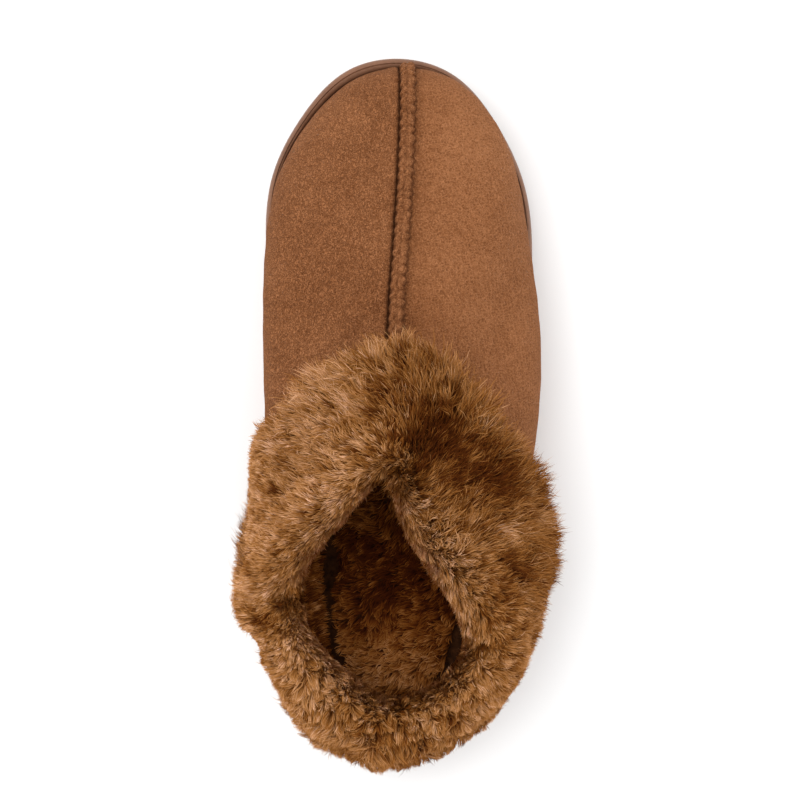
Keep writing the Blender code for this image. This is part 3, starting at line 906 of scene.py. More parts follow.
cuffSections = [
    # turn, flap, pile outside, pile on the crest, pile inside
    (0.000, 0.034, 0.0085, 0.005, 0.007),  # front
    (0.080, 0.035, 0.0085, 0.008, 0.011),
    (0.200, 0.037, 0.0105, 0.010, 0.014),  # right
    (0.300, 0.033, 0.0120, 0.009, 0.012),
    (0.380, 0.027, 0.0055, 0.008, 0.008),
    (0.450, 0.021, 0.0040, 0.008, 0.004),
    (0.515, 0.020, 0.0060, 0.008, 0.003),  # heel
    (0.570, 0.022, 0.0045, 0.008, 0.004),
    (0.608, 0.026, 0.0045, 0.008, 0.004),  # notch left
    (0.648, 0.031, 0.0100, 0.009, 0.003),  # corner left
    (0.720, 0.036, 0.0055, 0.009, 0.003),
    (0.800, 0.038, 0.0050, 0.009, 0.005),
    (0.850, 0.034, 0.0045, 0.009, 0.005),
    (0.920, 0.034, 0.0080, 0.008, 0.006),
]

cuffForm = {
    "gap": 0.0008,
    "tuck": 0.018,
    "overhang": 0.005,
    "tuckPile": 0.003,
    "flapEnd": 0.45,  # the section runs up the flap, over the crest and down the tuck
    "crestEnd": 0.62,
    "columns": 360,
    "rows": 101,
    "insideTurns": (0.55, 0.63, 0.84, 0.92),  # on the left the inside is in shade from higher up
    "insideRows": (0.84, 0.69, 0.69, 0.84),
    "hideRows": (0.00, 0.38, 0.50, 0.62, 0.72, 1.00),
    "hideShares": (0.36, 0.46, 0.70, 0.72, 0.52, 0.36),  # how far up the pile's depth the backing lies
    "hideHang": 0.6,
    "hideUnevenness": 0.0006,
    "flapParts": (0.0, 0.16, 0.40, 0.68, 0.90),
    "fullness": (0.58, 0.92, 1.0, 0.96, 0.90),  # the pile up the flap, as a share of its depth
}


def makeCuffSheets():
    # the cuff's skin, the way its pile stands, the backing and the pile's surface, over the whole section
    form = cuffForm
    turn = np.arange(form["columns"]) / form["columns"]
    section = np.linspace(0.0, 1.0, form["rows"])
    flap, pileOut, pileTop, pileIn = tableAt(cuffSections, turn)
    shares = np.linspace(0.0, 1.0, 201)
    sheet, length = upperSheet(turn, shares)
    normals = sheetNormals(sheet)
    crest, outward = sheet[:, -1], normals[:, -3]
    rising = unit(sheet[:, -1] - sheet[:, -5])
    rising = alongSurface(rising, outward)
    middle = crest - outward * 0.5 * last["wall"]
    radius = 0.5 * last["wall"] + form["gap"]
    skin = np.empty((form["columns"], form["rows"], 3))
    stand, depth = np.empty_like(skin), np.empty(skin.shape[:2])
    hang = np.zeros_like(skin)
    for row, place in enumerate(section):
        if place < form["flapEnd"]:
            part = place / form["flapEnd"]
            share = 1.0 - flap * (1.0 - part) / length
            point, normal = readSheet(sheet, turn, share), unit(readSheet(normals, turn, share))
            down = unit(readSheet(sheet, turn, share - 0.01) - point)
            skin[:, row] = point + normal * form["gap"]
            stand[:, row] = normal
            fullness = np.interp(part, form["flapParts"], form["fullness"])
            blend = ease((part - 0.75) / 0.25)
            depth[:, row] = pileOut * fullness * (1 - blend) + pileTop * blend
            hang[:, row] = down * form["overhang"] * (1.0 - part) ** 3
        elif place <= form["crestEnd"]:
            swing = np.pi * (place - form["flapEnd"]) / (form["crestEnd"] - form["flapEnd"])
            stand[:, row] = outward * math.cos(swing) + rising * math.sin(swing)
            skin[:, row] = middle + stand[:, row] * radius
            depth[:, row] = pileTop
        else:
            part = (place - form["crestEnd"]) / (1.0 - form["crestEnd"])
            share = 1.0 - form["tuck"] * part / length
            point, normal = readSheet(sheet, turn, share), unit(readSheet(normals, turn, share))
            skin[:, row] = point - normal * (last["wall"] + form["gap"])
            stand[:, row] = -normal
            blend = ease(part / 0.3)
            inner = pileIn + (form["tuckPile"] - pileIn) * part**2
            depth[:, row] = pileTop * (1 - blend) + inner * blend
    hideShare = np.interp(section, form["hideRows"], form["hideShares"])
    full = stand * depth[..., None]
    hide = skin + full * hideShare[None, :, None] + form["hideHang"] * hang
    return {"skin": skin, "stand": stand, "hide": hide, "pile": skin + full + hang}


def insideStart(turn):
    # place on the section where the inside's shade begins
    return np.interp(turn, cuffForm["insideTurns"], cuffForm["insideRows"])


cuff = makeCuffSheets()

seam = makeSeam()
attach(seam, "root")
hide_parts("vamp_seam")
print("seam:", len(seam.data.polygons), "faces")


def makeCuffHide():
    lift = cuffForm["hideUnevenness"] * waves(cuff["hide"], 0.006, 5)
    hide = cuff["hide"] + cuff["stand"] * lift[..., None]
    rings = np.concatenate([hide[::2, ::2], cuff["skin"][::2, ::-5]], axis=1).transpose(1, 0, 2)
    backing = makePiece("fur_backing", rings, [gridFaces(*rings.shape[:2], wrapRows=True)], furHide)
    row = np.linspace(0.0, 1.0, hide.shape[1])
    row = np.append(row[::2], row[::-5])
    turn = np.arange(rings.shape[1]) / rings.shape[1]
    # painted shade on the backing inside the opening
    setPointValue(backing, "inside", ease((row[:, None] - (insideStart(turn) - 0.06)) / 0.14))
    return backing


cuffHide = makeCuffHide()
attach(cuffHide, "root")
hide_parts("cuff")
print("fur backing:", len(cuffHide.data.polygons), "faces")


# Hairs: flat tapered strips, bent over, drawn together into locks

hairForm = {
    "steps": np.array([0.0, 0.42, 0.76, 1.0]),  # where along a hair its points are
    "taper": np.array([0.85, 1.0, 0.70]),
    "bends": 12,
    "roll": 0.7,
    "mapWidth": 0.012,
    "softness": 0.55,  # how much a hair is shaded like the pile as a whole
    "upward": 0.8,  # the pile's fuzzy sides take light from above
    "lowest": 0.3,
}


def bendHairs(roots, stand, flow, length, leanRoot, leanTip, curl):
    # each hair leaves its root near the way the pile stands, leans over towards the flow and curls aside
    bends = hairForm["bends"]
    fine = np.linspace(0.0, 1.0, bends + 1)
    lean = leanRoot[:, None] + (leanTip - leanRoot)[:, None] * fine
    twist = curl[:, None] * fine
    steps = np.stack([np.cos(lean), np.sin(lean) * np.cos(twist), np.sin(lean) * np.sin(twist)])
    gone = np.cumsum(steps, axis=2) - steps
    pick = np.round(hairForm["steps"] * bends).astype(int)
    upward, ahead, aside = gone[:, :, pick] * length[:, None] / bends
    across = np.cross(stand, flow)
    return (
        roots[:, None]
        + stand[:, None] * upward[..., None]
        + flow[:, None] * ahead[..., None]
        + across[:, None] * aside[..., None]
    )


def gatherLocks(curves, roots, count, pull, power, chance):
    # draws each hair's tip towards the nearest leading hair; returns which one it follows
    leaders = chance.choice(len(roots), min(count, len(roots)), replace=False)
    tree = KDTree(len(leaders))
    for number, place in enumerate(roots[leaders].tolist()):
        tree.insert(place, number)
    tree.balance()
    nearest = np.array([tree.find(place)[1] for place in roots.tolist()])
    leading = curves[leaders[nearest]]
    weight = pull[:, None] * hairForm["steps"][None, :] ** power
    return curves + (leading - curves) * weight[..., None], nearest


def makeHairs(name, curves, stand, width, shade, material, chance, rootLift=0.0):
    # rootLift is how far up the map a hair starts, where its root is as light as that
    form = hairForm
    tangent = np.gradient(curves, axis=1)
    side = unit(np.cross(tangent, stand[:, None] + 1e-4))
    roll = chance.uniform(-form["roll"], form["roll"], len(curves))[:, None, None]
    side = side * np.cos(roll) + unit(np.cross(tangent, side)) * np.sin(roll)
    half = 0.5 * width[:, None, None] * form["taper"][None, :, None]
    points = np.empty((len(curves), 7, 3))
    points[:, 0:6:2] = curves[:, :3] - side[:, :3] * half
    points[:, 1:6:2] = curves[:, :3] + side[:, :3] * half
    points[:, 6] = curves[:, 3]
    first = (np.arange(len(curves)) * 7)[:, None]
    quads = np.concatenate([first + (0, 1, 3, 2), first + (2, 3, 5, 4)])
    tips = first + (4, 5, 6)
    piece = makePiece(name, points, [quads, tips], material)
    uv = np.empty((len(curves), 7, 2))
    across = np.array([-1, 1, -1, 1, -1, 1, 0]) * form["mapWidth"]
    uv[..., 0] = np.clip(shade, 0.02, 0.98)[:, None] + across
    lift = np.broadcast_to(rootLift, len(curves))[:, None]
    uv[..., 1] = lift + (1.0 - lift) * np.repeat(form["steps"], (2, 2, 2, 1))
    setPointUv(piece, "OFBake", uv)
    facing = unit(np.cross(tangent, side))
    facing *= np.where(np.sum(facing * stand[:, None], axis=2, keepdims=True) < 0.0, -1.0, 1.0)
    pile = unit(stand + (0.0, 0.0, form["upward"]))
    soft = unit(form["softness"] * pile[:, None] + (1.0 - form["softness"]) * facing)
    under = np.where(facing[..., 2] < 0.0, -1.0, 1.0)  # seen from behind by whoever looks down on it
    soft[..., 2] = under * np.maximum(soft[..., 2], form["lowest"])
    soft = unit(soft)[:, (0, 0, 1, 1, 2, 2, 3)]
    piece.data.normals_split_custom_set_from_vertices(soft.reshape(-1, 3).tolist())
    return piece


def pickCells(across, along, weight, count, chance):
    # column and row of a cell for each hair, as often as the cell's area and weight are large
    area = np.linalg.norm(np.cross(across, along), axis=2) * weight
    total = np.cumsum(area.ravel())
    spots = (np.arange(count) + chance.uniform(0.0, 1.0, count)) / count * total[-1]
    cell = np.minimum(np.searchsorted(total, spots), len(total) - 1)
    return np.divmod(cell, area.shape[1])


def scatter(surface, count, chance, weight):
    # even places over a sheet that goes round the shoe, as turn and row
    across = np.roll(surface, -1, axis=0) - surface
    along = np.diff(surface, axis=1)
    column, row = pickCells(across[:, :-1], along, weight, count, chance)
    turn = (column + chance.uniform(0.0, 1.0, count)) / len(surface)
    row = (row + chance.uniform(0.0, 1.0, count)) / along.shape[1]
    order = chance.permutation(count)
    return turn[order], row[order]


def makeFleece(name, look, roots, stand, flow, ruffle, lighter, chance):
    # short curled pile, drawn into locks
    count = len(roots)
    lean = []
    for angle, ruffled, vary in (look["leanRoot"], look["leanTip"]):
        lean.append(np.radians(angle + ruffled * ruffle + chance.normal(0.0, vary, count)))
    length = chance.uniform(*look["hairLength"], count)
    curves = bendHairs(roots, stand, flow, length, *lean, chance.normal(0.0, look["curl"], count))
    pull = chance.uniform(*look["lockPull"], count)
    curves, lock = gatherLocks(curves, roots, look["locks"], pull, 1.4, chance)
    shade = look["shade"] + chance.normal(0.0, look["lockShade"], look["locks"])[lock]
    shade += chance.normal(0.0, look["hairShade"], count) + lighter
    width = chance.uniform(*look["hairWidth"], count)
    return makeHairs(name, curves, stand, width, shade, fleeceHair, chance)


furForm = {
    "hairs": 118000,
    "parts": 4,  # pieces that the fur is split into
    "clumps": 1100,  # broad curls at the heel
    "clumpTurns": (0.36, 0.46, 0.58, 0.66),
    "clumpPull": 0.62,
    "locks": 3600,
    "tufts": 19000,
    "tuftPull": (0.25, 0.62),
    "width": (0.00022, 0.00038),
    "lengthSpread": (0.92, 1.09),
    "curl": 1.0,  # how far the hairs twist aside, in radians
    "strays": 0.06,
    "parting": 0.90,  # place on the section where the fur turns from the opening to the flap
    "partingWidth": 0.09,
    "leanRows": (0.0, 0.42, 0.54, 0.66, 1.0),
    "leanRoot": (16.0, 18.0, 24.0, 32.0, 38.0),  # degrees from standing, down the section
    "leanTip": (56.0, 52.0, 54.0, 60.0, 64.0),
    "sweep": (1.0, 1.0, 1.0, 0.8, 0.4),
    "reachRows": (0.0, 0.40, 0.55, 0.66, 1.0),
    "reach": (0.0034, 0.0032, 0.0016, 0.0012, 0.0005),  # how far the tips stand out of the pile
    "falls": (-2.0, -21.0, 6.0, 1.7),  # across, along, radius in millimetres: it falls into the opening
    "edgeTurns": (0.00, 0.05, 0.12, 0.18, 0.25, 0.80, 0.86, 0.92, 0.97, 1.00),
    "edgeLonger": (0.05, 0.45, 0.60, 0.25, 0.0, 0.0, 0.35, 0.45, 0.20, 0.05),  # hairs that lie on the vamp
    "combTurns": (0.0, 0.05, 0.34, 0.42),  # where the roll on the right is combed towards the heel
    "combRows": (0.50, 0.58, 0.76, 0.86),
    "combLean": (24.0, 18.0),  # degrees more at the root and at the tip
    "leanRuffle": (6.0, 12.0),
    "leanSpread": (7.0, 15.0),
    "swirlSpread": 0.45,
    "densityRows": (0.0, 0.42, 0.53, 0.66, 0.80, 1.0),
    "density": (1.0, 1.0, 1.7, 1.6, 0.8, 0.4),
    "lockSpread": (0.6, 1.4),
    "strayPull": (0.05, 0.10),  # how little strays follow a lock and a tuft
    "shade": 0.52,
    "lockShade": 0.10,
    "tuftShade": 0.13,
    "hairShade": 0.11,
    "rollRow": 0.60,  # the roll at the opening's edge
    # painted light on the roll's crest, and lighter roots there so the parting shows less painted shade
    "rollPaintedLight": 0.06,
    "rollLift": 0.55,
    # painted shade inside the opening
    "insidePaintedShade": 0.45,
    "seed": 21,
}

riseAndFall = (0.0, 1.0, 1.0, 0.0)

furRegions = [
    # turn, ruffled, drawn into locks, tips standing out, swept to the left of the way out
    (0.000, 0.8, 0.10, 0.8, 1.10),
    (0.060, 0.9, 0.12, 0.8, 0.90),
    (0.120, 1.1, 0.16, 0.9, 0.35),
    (0.300, 1.6, 0.34, 1.1, -0.20),
    (0.400, 1.6, 0.46, 1.0, -0.10),
    (0.455, 1.6, 0.50, 0.7, -0.10),
    (0.500, 1.8, 0.60, 1.3, 0.00),
    (0.535, 1.8, 0.60, 1.4, 0.00),
    (0.570, 1.8, 0.60, 1.4, 0.05),
    (0.596, 1.7, 0.55, 0.8, 0.08),
    (0.620, 1.5, 0.46, 0.3, 0.12),
    (0.641, 1.3, 0.32, -0.4, 0.20),
    (0.664, 1.1, 0.24, 0.9, 0.30),
    (0.720, 1.0, 0.18, 0.9, 0.60),
    (0.820, 0.8, 0.12, 0.5, 0.95),
    (0.920, 0.7, 0.10, 0.8, 1.30),
]

furTrims = [
    # place across and along, radius, all in millimetres, and how much shorter the roll's hairs are there
    (-2.0, -21.0, 6.0, -1.10),  # longer over the front end of the opening
    (0.0, -33.0, 8.0, 0.22),
    (8.0, -46.0, 8.0, 0.18),
    (16.0, -60.0, 8.0, 0.10),
]

furLightAndShade = [
    # place across and along, radius, all in millimetres, and how much lighter: painted light and shade on
    # the fur
    (9.0, -9.0, 10.0, -0.24),  # painted shade down in the pile on the right of the throat
    (16.0, -22.0, 11.0, -0.26),
    (33.0, -29.0, 8.0, -0.34),
    (24.0, -16.0, 22.0, -0.24),
    (4.0, 2.0, 14.0, -0.27),
    (40.0, -8.0, 8.0, 0.12),  # painted highlight along the rim on the right
    (48.0, -22.0, 8.0, 0.10),
    (42.0, -56.0, 24.0, -0.26),
    (34.0, -82.0, 20.0, -0.10),
    (0.0, -112.0, 26.0, -0.22),
    (-30.0, -6.0, 18.0, 0.02),  # painted light on the fur in front on the left
    (-46.0, -48.0, 22.0, -0.06),
    (-57.0, -38.0, 7.0, 0.14),  # painted highlight along the outline on the left
    (-60.0, -60.0, 7.0, 0.14),
    (-6.0, -24.0, 8.0, -0.12),
    (5.0, -36.0, 7.0, 0.09),  # painted light on the roll on the right of the opening
    (15.0, -54.0, 8.0, 0.12),
    (23.0, -70.0, 8.0, 0.14),
]

furFolds = [
    # from and to, across and along, half width, all in millimetres, share of the pile lost, how much darker
    # with painted shade in the fold
    (-30.0, -61.0, -48.0, -73.0, 5.0, 0.42, 0.34),  # fold under the corner on the left
    (8.0, -15.0, 27.0, -22.0, 6.0, 0.22, 0.12),  # valley on the right of the throat
    (34.0, -62.0, 30.0, -84.0, 4.0, 0.14, 0.08),
    (-12.0, -110.0, -20.0, -124.0, 3.5, 0.14, 0.08),
]


def foldPull(roots):
    # how deep each root lies in a fold, how much painted shade it gets, and the way out of the fold
    lost, foldShade, away = np.zeros(len(roots)), np.zeros(len(roots)), np.zeros_like(roots)
    flat = roots[:, :2] * 1000
    for x0, y0, x1, y1, width, loss, dark in furFolds:
        start, run = np.array([x0, y0]), np.array([x1 - x0, y1 - y0])
        share = np.clip((flat - start) @ run / (run @ run), 0.0, 1.0)
        off = flat - start - share[:, None] * run
        near = np.exp(-((np.linalg.norm(off, axis=1) / width) ** 2))
        lost = np.maximum(lost, loss * near)
        foldShade = np.maximum(foldShade, dark * near)
        away[:, :2] += unit(off) * near[:, None]
    return lost, foldShade, away


def layFur(turn, row, roots, stand, away, chance):
    # the way the hairs lie: down the flap or into the opening, swept aside, and how far they lie down
    look = furForm
    ruffled, _, _, swept = tableAt(furRegions, turn)
    toFlap = unit(readSheet(cuff["hide"], turn, row - 0.01) - readSheet(cuff["hide"], turn, row + 0.01))
    toFlap = alongSurface(toFlap, stand)
    sideways = np.cross(stand, toFlap)
    lay = np.tanh((look["parting"] - row) / look["partingWidth"])
    across, along, radius, falling = look["falls"]
    lay -= falling * spread(roots, across, along, radius) * ease((row - 0.50) / 0.08)
    swirl = 0.50 * waves(roots, 0.026, 11) + 0.40 * waves(roots, 0.010, 12)
    swirl += chance.normal(0.0, look["swirlSpread"], len(roots))
    swirl = swirl * ruffled + swept * np.interp(row, look["leanRows"], look["sweep"])
    combed = np.interp(turn, look["combTurns"], riseAndFall)
    combed *= np.interp(row, look["combRows"], riseAndFall)
    lay *= 1.0 - 0.6 * combed
    swirl -= combed * (1.4 + 0.4 * swirl)
    flow = toFlap * lay[:, None] + sideways * swirl[:, None] + 0.4 * away
    return alongSurface(flow, stand), np.maximum(np.abs(lay), combed), combed


def leanFur(row, roots, lieDown, combed, chance):
    # how far each hair leans over at its root and at its tip
    look = furForm
    ruffle = 0.6 * waves(roots, 0.015, 13) + 0.5 * waves(roots, 0.006, 14)
    lean = []
    for end, name in enumerate(("leanRoot", "leanTip")):
        angle = lieDown * np.interp(row, look["leanRows"], look[name])
        angle = angle + look["combLean"][end] * combed + look["leanRuffle"][end] * ruffle
        lean.append(np.radians(angle + chance.normal(0.0, look["leanSpread"][end], len(roots))))
    return lean


def gatherFur(curves, roots, turn, row, chance):
    # clumps at the heel, locks all round and fine tufts in them; a few strays keep out
    look = furForm
    count = len(roots)
    drawn = tableAt(furRegions, turn)[1]
    stray = chance.uniform(0.0, 1.0, count) < look["strays"]
    pull = np.interp(turn, look["clumpTurns"], riseAndFall) * (1.0 - ease((row - 0.50) / 0.12))
    pull = look["clumpPull"] * pull * ~stray
    curves, _ = gatherLocks(curves, roots, look["clumps"], pull, 1.8, chance)
    pull = np.where(stray, look["strayPull"][0], drawn * chance.uniform(*look["lockSpread"], count))
    curves, lock = gatherLocks(curves, roots, look["locks"], pull, 1.5, chance)
    pull = np.where(stray, look["strayPull"][1], chance.uniform(*look["tuftPull"], count))
    curves, tuft = gatherLocks(curves, roots, look["tufts"], pull, 1.2, chance)
    return curves, lock, tuft


def shadeFur(turn, row, roots, lock, tuft, foldShade, chance):
    look = furForm
    lockShade = chance.normal(0.0, look["lockShade"], look["locks"])
    tuftShade = chance.normal(0.0, look["tuftShade"], look["tufts"])
    hairShade = chance.normal(0.0, look["hairShade"], len(roots))
    # the painted shade in the folds is taken off
    shade = look["shade"] + lockShade[lock] + tuftShade[tuft] + hairShade - foldShade
    shade += 0.07 * waves(roots, 0.013, 18) + 0.06 * waves(roots, 0.0055, 19)
    # painted light and shade in patches over the fur
    for across, along, radius, value in furLightAndShade:
        shade += value * spread(roots, across, along, radius)
    # painted light along the roll's crest
    shade += look["rollPaintedLight"] * np.exp(-(((row - look["rollRow"]) / 0.06) ** 2))
    # painted shade on the hairs inside the opening
    shade -= look["insidePaintedShade"] * ease((row - insideStart(turn)) / 0.12)
    return shade


def makeFur():
    look = furForm
    chance = np.random.default_rng(look["seed"])
    count = look["hairs"]
    rowMiddle = (np.arange(cuffForm["rows"] - 1) + 0.5) / (cuffForm["rows"] - 1)
    weight = np.interp(rowMiddle, look["densityRows"], look["density"])[None, :]
    turn, row = scatter(cuff["pile"], count, chance, weight)
    roots = readSheet(cuff["hide"], turn, row)
    stand = unit(readSheet(cuff["stand"], turn, row))
    depth = np.linalg.norm(readSheet(cuff["pile"], turn, row) - roots, axis=1)
    depth = depth + tableAt(furRegions, turn)[2] * np.interp(row, look["reachRows"], look["reach"])
    lost, foldShade, away = foldPull(roots)
    for across, along, radius, shorter in furTrims:
        lost = lost + shorter * spread(roots, across, along, radius) * ease((row - 0.46) / 0.08)
    flow, lieDown, combed = layFur(turn, row, roots, stand, away, chance)
    leanRoot, leanTip = leanFur(row, roots, lieDown, combed, chance)
    height = 0.5 * (np.cos(leanRoot) + np.cos(leanTip))
    length = depth / np.maximum(height, 0.5) * chance.uniform(*look["lengthSpread"], count)
    length *= (1.0 + 0.06 * waves(roots, 0.014, 15) + 0.05 * waves(roots, 0.006, 16)) * (1.0 - lost)
    length *= 1.0 + np.interp(turn, look["edgeTurns"], look["edgeLonger"]) * (1.0 - ease(row / 0.30))
    curl = look["curl"] * (0.7 * waves(roots, 0.009, 17) + chance.normal(0.0, 0.7, count))
    curves = bendHairs(roots, stand, flow, length, leanRoot, leanTip, curl)
    curves, lock, tuft = gatherFur(curves, roots, turn, row, chance)
    shade = shadeFur(turn, row, roots, lock, tuft, foldShade, chance)
    # roots lighter along the roll, so the dark roots show less painted shade in the parting
    lift = look["rollLift"] * np.exp(-(((row - look["rollRow"]) / 0.14) ** 2))
    width = chance.uniform(*look["width"], count)
    pieces = []
    for part in range(look["parts"]):
        pick = slice(part, None, look["parts"])
        parts = [values[pick] for values in (curves, stand, width, shade)]
        hairs = makeHairs(f"cuff_fur_{part + 1}", *parts, furHair, chance, lift[pick])
        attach(hairs, "root")
        pieces.append(hairs)
    return pieces


furPieces = makeFur()
print("fur:", sum(len(piece.data.polygons) for piece in furPieces), "faces")


# Insole and lining

insoleLook = {
    "columns": 240,
    "across": 34,
    "thickness": 0.008,
    "gap": 0.0055,
    "hairs": 17000,
    "locks": 1700,
    "edge": 0.0042,  # bare strip along the edge, where the dark backing shows as a painted shadow line along the gap
    "unevenness": 0.0005,
    "seenEnd": 0.020,  # further forward the pile is thinner, where nothing shows
    "hairLength": (0.0050, 0.0078),
    "hairWidth": (0.00035, 0.00055),
    "leanRoot": (34.0, 10.0, 8.0),  # degrees: lean, ruffled by, spread
    "leanTip": (68.0, 12.0, 10.0),
    "heading": -150.0,
    "curl": 0.6,
    "lockPull": (0.3, 0.7),
    "shade": 0.5,
    "lockShade": 0.14,
    "hairShade": 0.10,
    "seed": 31,
}

insoleSide = [
    # inset, share of the thickness
    (0.0006, 0.00),
    (0.0000, 0.25),
    (0.0000, 0.60),
    (0.0006, 0.80),
    (0.0018, 0.93),
    (0.0045, 1.00),
]


def insoleFloor(y):
    return rimHeight(y) - soleForm["cupDepth"] + 2.0 * last["gap"]


def makeInsole():
    look = insoleLook
    turn = np.arange(look["columns"]) / look["columns"]
    edge, outward = soleLine(turn)
    inside = rimWidth(turn) + last["gap"] + last["wall"] + look["gap"]
    rings = []
    for inset, part in insoleSide:
        place = edge - outward * (inside + inset)
        rings.append(np.column_stack([place, insoleFloor(place[:, 1]) + part * look["thickness"]]))
    points = np.concatenate(rings)
    faces = [gridFaces(len(rings), look["columns"])]
    for number in (0, len(rings) - 1):
        sheet, closing = fillAcross(rings, number, look["across"], len(points))
        if number > 0:
            sheet[..., 2] = insoleFloor(sheet[..., 1]) + look["thickness"]
            inner = sheet[:, 1:-1]
            inner[..., 2] -= look["unevenness"] * (1.0 + waves(inner, 0.012, 8))
        points = np.concatenate([points, sheet[:, 1:-1].reshape(-1, 3)])
        faces += closing
    return makePiece("fleece_insole", points, faces, fleeceHide), sheet


def makeInsolePile(sheet):
    look = insoleLook
    chance = np.random.default_rng(look["seed"])
    count = look["hairs"]
    middle = sheet[:-1, :-1]
    weight = np.where(middle[..., 1] < look["seenEnd"], 1.0, 0.25)
    heelEnd, toeEnd = sheet[..., 1].min(), sheet[..., 1].max()
    ends = np.minimum(middle[..., 1] - heelEnd, toeEnd - middle[..., 1])
    sides = [np.linalg.norm(middle - edge, axis=2) for edge in (sheet[:-1, :1], sheet[:-1, -1:])]
    weight = weight * (ends > look["edge"]) * (np.minimum(*sides) > look["edge"])
    across, along = np.diff(sheet, axis=0)[:, :-1], np.diff(sheet, axis=1)[:-1]
    i, j = pickCells(across, along, weight, count, chance)
    fi, fj = chance.uniform(0.0, 1.0, (2, count, 1))
    one = sheet[i, j] * (1 - fi) + sheet[i + 1, j] * fi
    other = sheet[i, j + 1] * (1 - fi) + sheet[i + 1, j + 1] * fi
    roots = one * (1 - fj) + other * fj
    stand = np.tile((0.0, 0.0, 1.0), (count, 1))
    heading = np.radians(look["heading"]) + 0.9 * waves(roots, 0.024, 33) + chance.normal(0.0, 0.35, count)
    flow = np.column_stack([np.cos(heading), np.sin(heading), np.zeros(count)])
    y = roots[:, 1]
    lighter = 0.30 - 0.80 * ease((y + 0.108) / 0.050)  # painted light at the heel, painted shade further forward under the cuff
    # painted light near the front end of the opening
    lighter += 0.20 * ease((y + 0.055) / 0.020)
    # painted shadow in the gap at the heel end
    lighter -= 0.45 * (1.0 - ease((y - heelEnd - look["edge"]) / 0.004))
    lighter += 0.08 * waves(roots, 0.016, 35) + 0.06 * waves(roots, 0.007, 36)
    ruffle = waves(roots, 0.012, 34)
    return makeFleece("insole_fleece", look, roots, stand, flow, ruffle, lighter, chance)


insole, insoleSheet = makeInsole()
insolePile = makeInsolePile(insoleSheet)
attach(insole, "root")
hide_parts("insole")
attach(insolePile, "root")
print("insole:", len(insole.data.polygons), "faces,", len(insolePile.data.polygons), "faces of pile")

liningLook = {
    "columns": 150,
    "rows": 32,
    "gap": 0.0004,
    "thickness": 0.0012,
    "hairs": 14000,
    "locks": 1800,
    "seenEnd": -0.015,  # further forward the pile is thinner
    "unevenness": 0.0004,
    "cuffGap": 0.001,  # between the lining and the cuff's tuck
    "hairLength": (0.0060, 0.0085),
    "hairWidth": (0.00035, 0.00055),
    "leanRoot": (16.0, 0.0, 9.0),
    "leanTip": (46.0, 14.0, 14.0),
    "curl": 0.6,
    "lockPull": (0.3, 0.7),
    # darker all over: painted shade on the lining down inside the opening
    "shade": 0.24,
    "lockShade": 0.20,
    "hairShade": 0.14,
    "seed": 41,
}


def makeLining():
    look = liningLook
    turn = np.arange(look["columns"]) / look["columns"]
    fine, length = upperSheet(turn, np.linspace(0.0, 1.0, 121))
    fineNormals = sheetNormals(fine)
    topShare = 1.0 - (cuffForm["tuck"] + look["cuffGap"]) / length
    rows = np.linspace(0.01, 1.0, look["rows"])
    outer = np.stack([readSheet(fine, turn, topShare * part) for part in rows], axis=1)
    normals = np.stack([readSheet(fineNormals, turn, topShare * part) for part in rows], axis=1)
    outer = outer - normals * (last["wall"] + look["gap"])
    inner = outer - normals * (look["thickness"] + look["unevenness"] * waves(outer, 0.010, 42))[..., None]
    rings = np.concatenate([outer, inner[:, ::-1]], axis=1).transpose(1, 0, 2)
    lining = makePiece("vamp_lining", rings, [gridFaces(*rings.shape[:2], wrapRows=True)], fleeceHide)
    chance = np.random.default_rng(look["seed"])
    count = look["hairs"]
    middle = inner[:, :-1]
    weight = np.where(middle[..., 1] < look["seenEnd"], 1.0, 0.08)
    weight = weight * np.linspace(1.6, 0.8, look["rows"] - 1)[None, :]
    spot, row = scatter(inner, count, chance, weight)
    roots, stand = readSheet(inner, spot, row), -unit(readSheet(normals, spot, row))
    down = unit(readSheet(inner, spot, row - 0.03) - readSheet(inner, spot, row + 0.03))
    sideways = np.cross(stand, down)
    flow = unit(down + sideways * (0.6 * waves(roots, 0.02, 43) + chance.normal(0.0, 0.3, count))[:, None])
    ruffle, lighter = waves(roots, 0.008, 45), 0.12 * waves(roots, 0.009, 44)
    return lining, makeFleece("lining_fleece", look, roots, stand, flow, ruffle, lighter, chance)


lining, liningPile = makeLining()
for piece in (lining, liningPile):
    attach(piece, "root")
print("lining:", len(lining.data.polygons), "faces,", len(liningPile.data.polygons), "faces of pile")


# Floor, light and camera

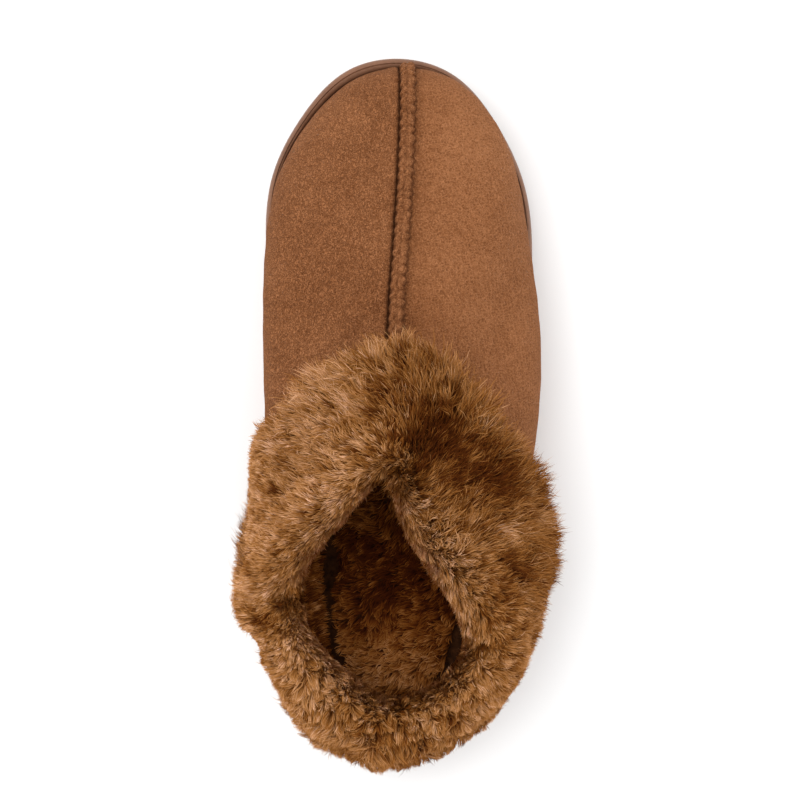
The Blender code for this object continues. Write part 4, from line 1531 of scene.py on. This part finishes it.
studio = {
    "floorSize": 6.0,
    "floorColour": (0.93, 0.93, 0.93),
    "floorDrop": 0.0002,
    "fill": 1.28,
    "keyPlace": (-0.70, 0.45, 1.80),
    "keySize": 1.6,
    "keyPower": 15.0,
    "cameraHeight": 1.400,
    "cameraPlace": (0.0, 0.0058),  # over the shoe's own middle line
    "frameWidth": 0.3096,  # width of floor that the picture shows
    "sensor": 36.0,
}


def makeFloor():
    half = studio["floorSize"] / 2
    board = NodeBoard("paleFloor")
    tone = board.noise(board.place(), 3.0, 2.0)
    pale = studio["floorColour"]
    colour = board.ramp(tone, [(0.0, tuple(0.995 * c for c in pale)), (1.0, pale)])
    material = board.finish(colour, Roughness=0.7, Specular_IOR_Level=0.1)
    corners = np.array([(-half, -half, 0.0), (half, -half, 0.0), (half, half, 0.0), (-half, half, 0.0)])
    floor = makePiece("floor", corners, [np.array([[0, 1, 2, 3]])], material, smooth=False)
    floor.location.z = -studio["floorDrop"]


def makeLights():
    world = bpy.data.worlds.new("studio")
    world.use_nodes = True
    ground = world.node_tree.nodes["Background"]
    ground.inputs["Color"].default_value = (1.0, 1.0, 1.0, 1.0)
    ground.inputs["Strength"].default_value = studio["fill"]
    bpy.context.scene.world = world
    lamp = bpy.data.lights.new("softbox", "AREA")
    lamp.shape = "DISK"
    lamp.size = studio["keySize"]
    lamp.energy = studio["keyPower"]
    box = bpy.data.objects.new("softbox", lamp)
    box.location = studio["keyPlace"]
    toShoe = -np.array(studio["keyPlace"])
    box.rotation_euler = (
        math.acos(-toShoe[2] / np.linalg.norm(toShoe)),
        0.0,
        math.atan2(toShoe[1], toShoe[0]) - math.pi / 2,
    )
    bpy.context.scene.collection.objects.link(box)


def makeCamera():
    lens = bpy.data.cameras.new("camera")
    lens.sensor_width = studio["sensor"]
    lens.lens = studio["sensor"] * studio["cameraHeight"] / studio["frameWidth"]
    lens.clip_end = 20.0
    camera = bpy.data.objects.new("camera", lens)
    x, y = np.array(studio["cameraPlace"]) + shoeShift[:2]
    camera.location = (x, y, studio["cameraHeight"])
    bpy.context.scene.collection.objects.link(camera)
    bpy.context.scene.camera = camera


makeFloor()
makeLights()
makeCamera()
bpy.context.scene.view_settings.view_transform = "Standard"
print("studio ready")
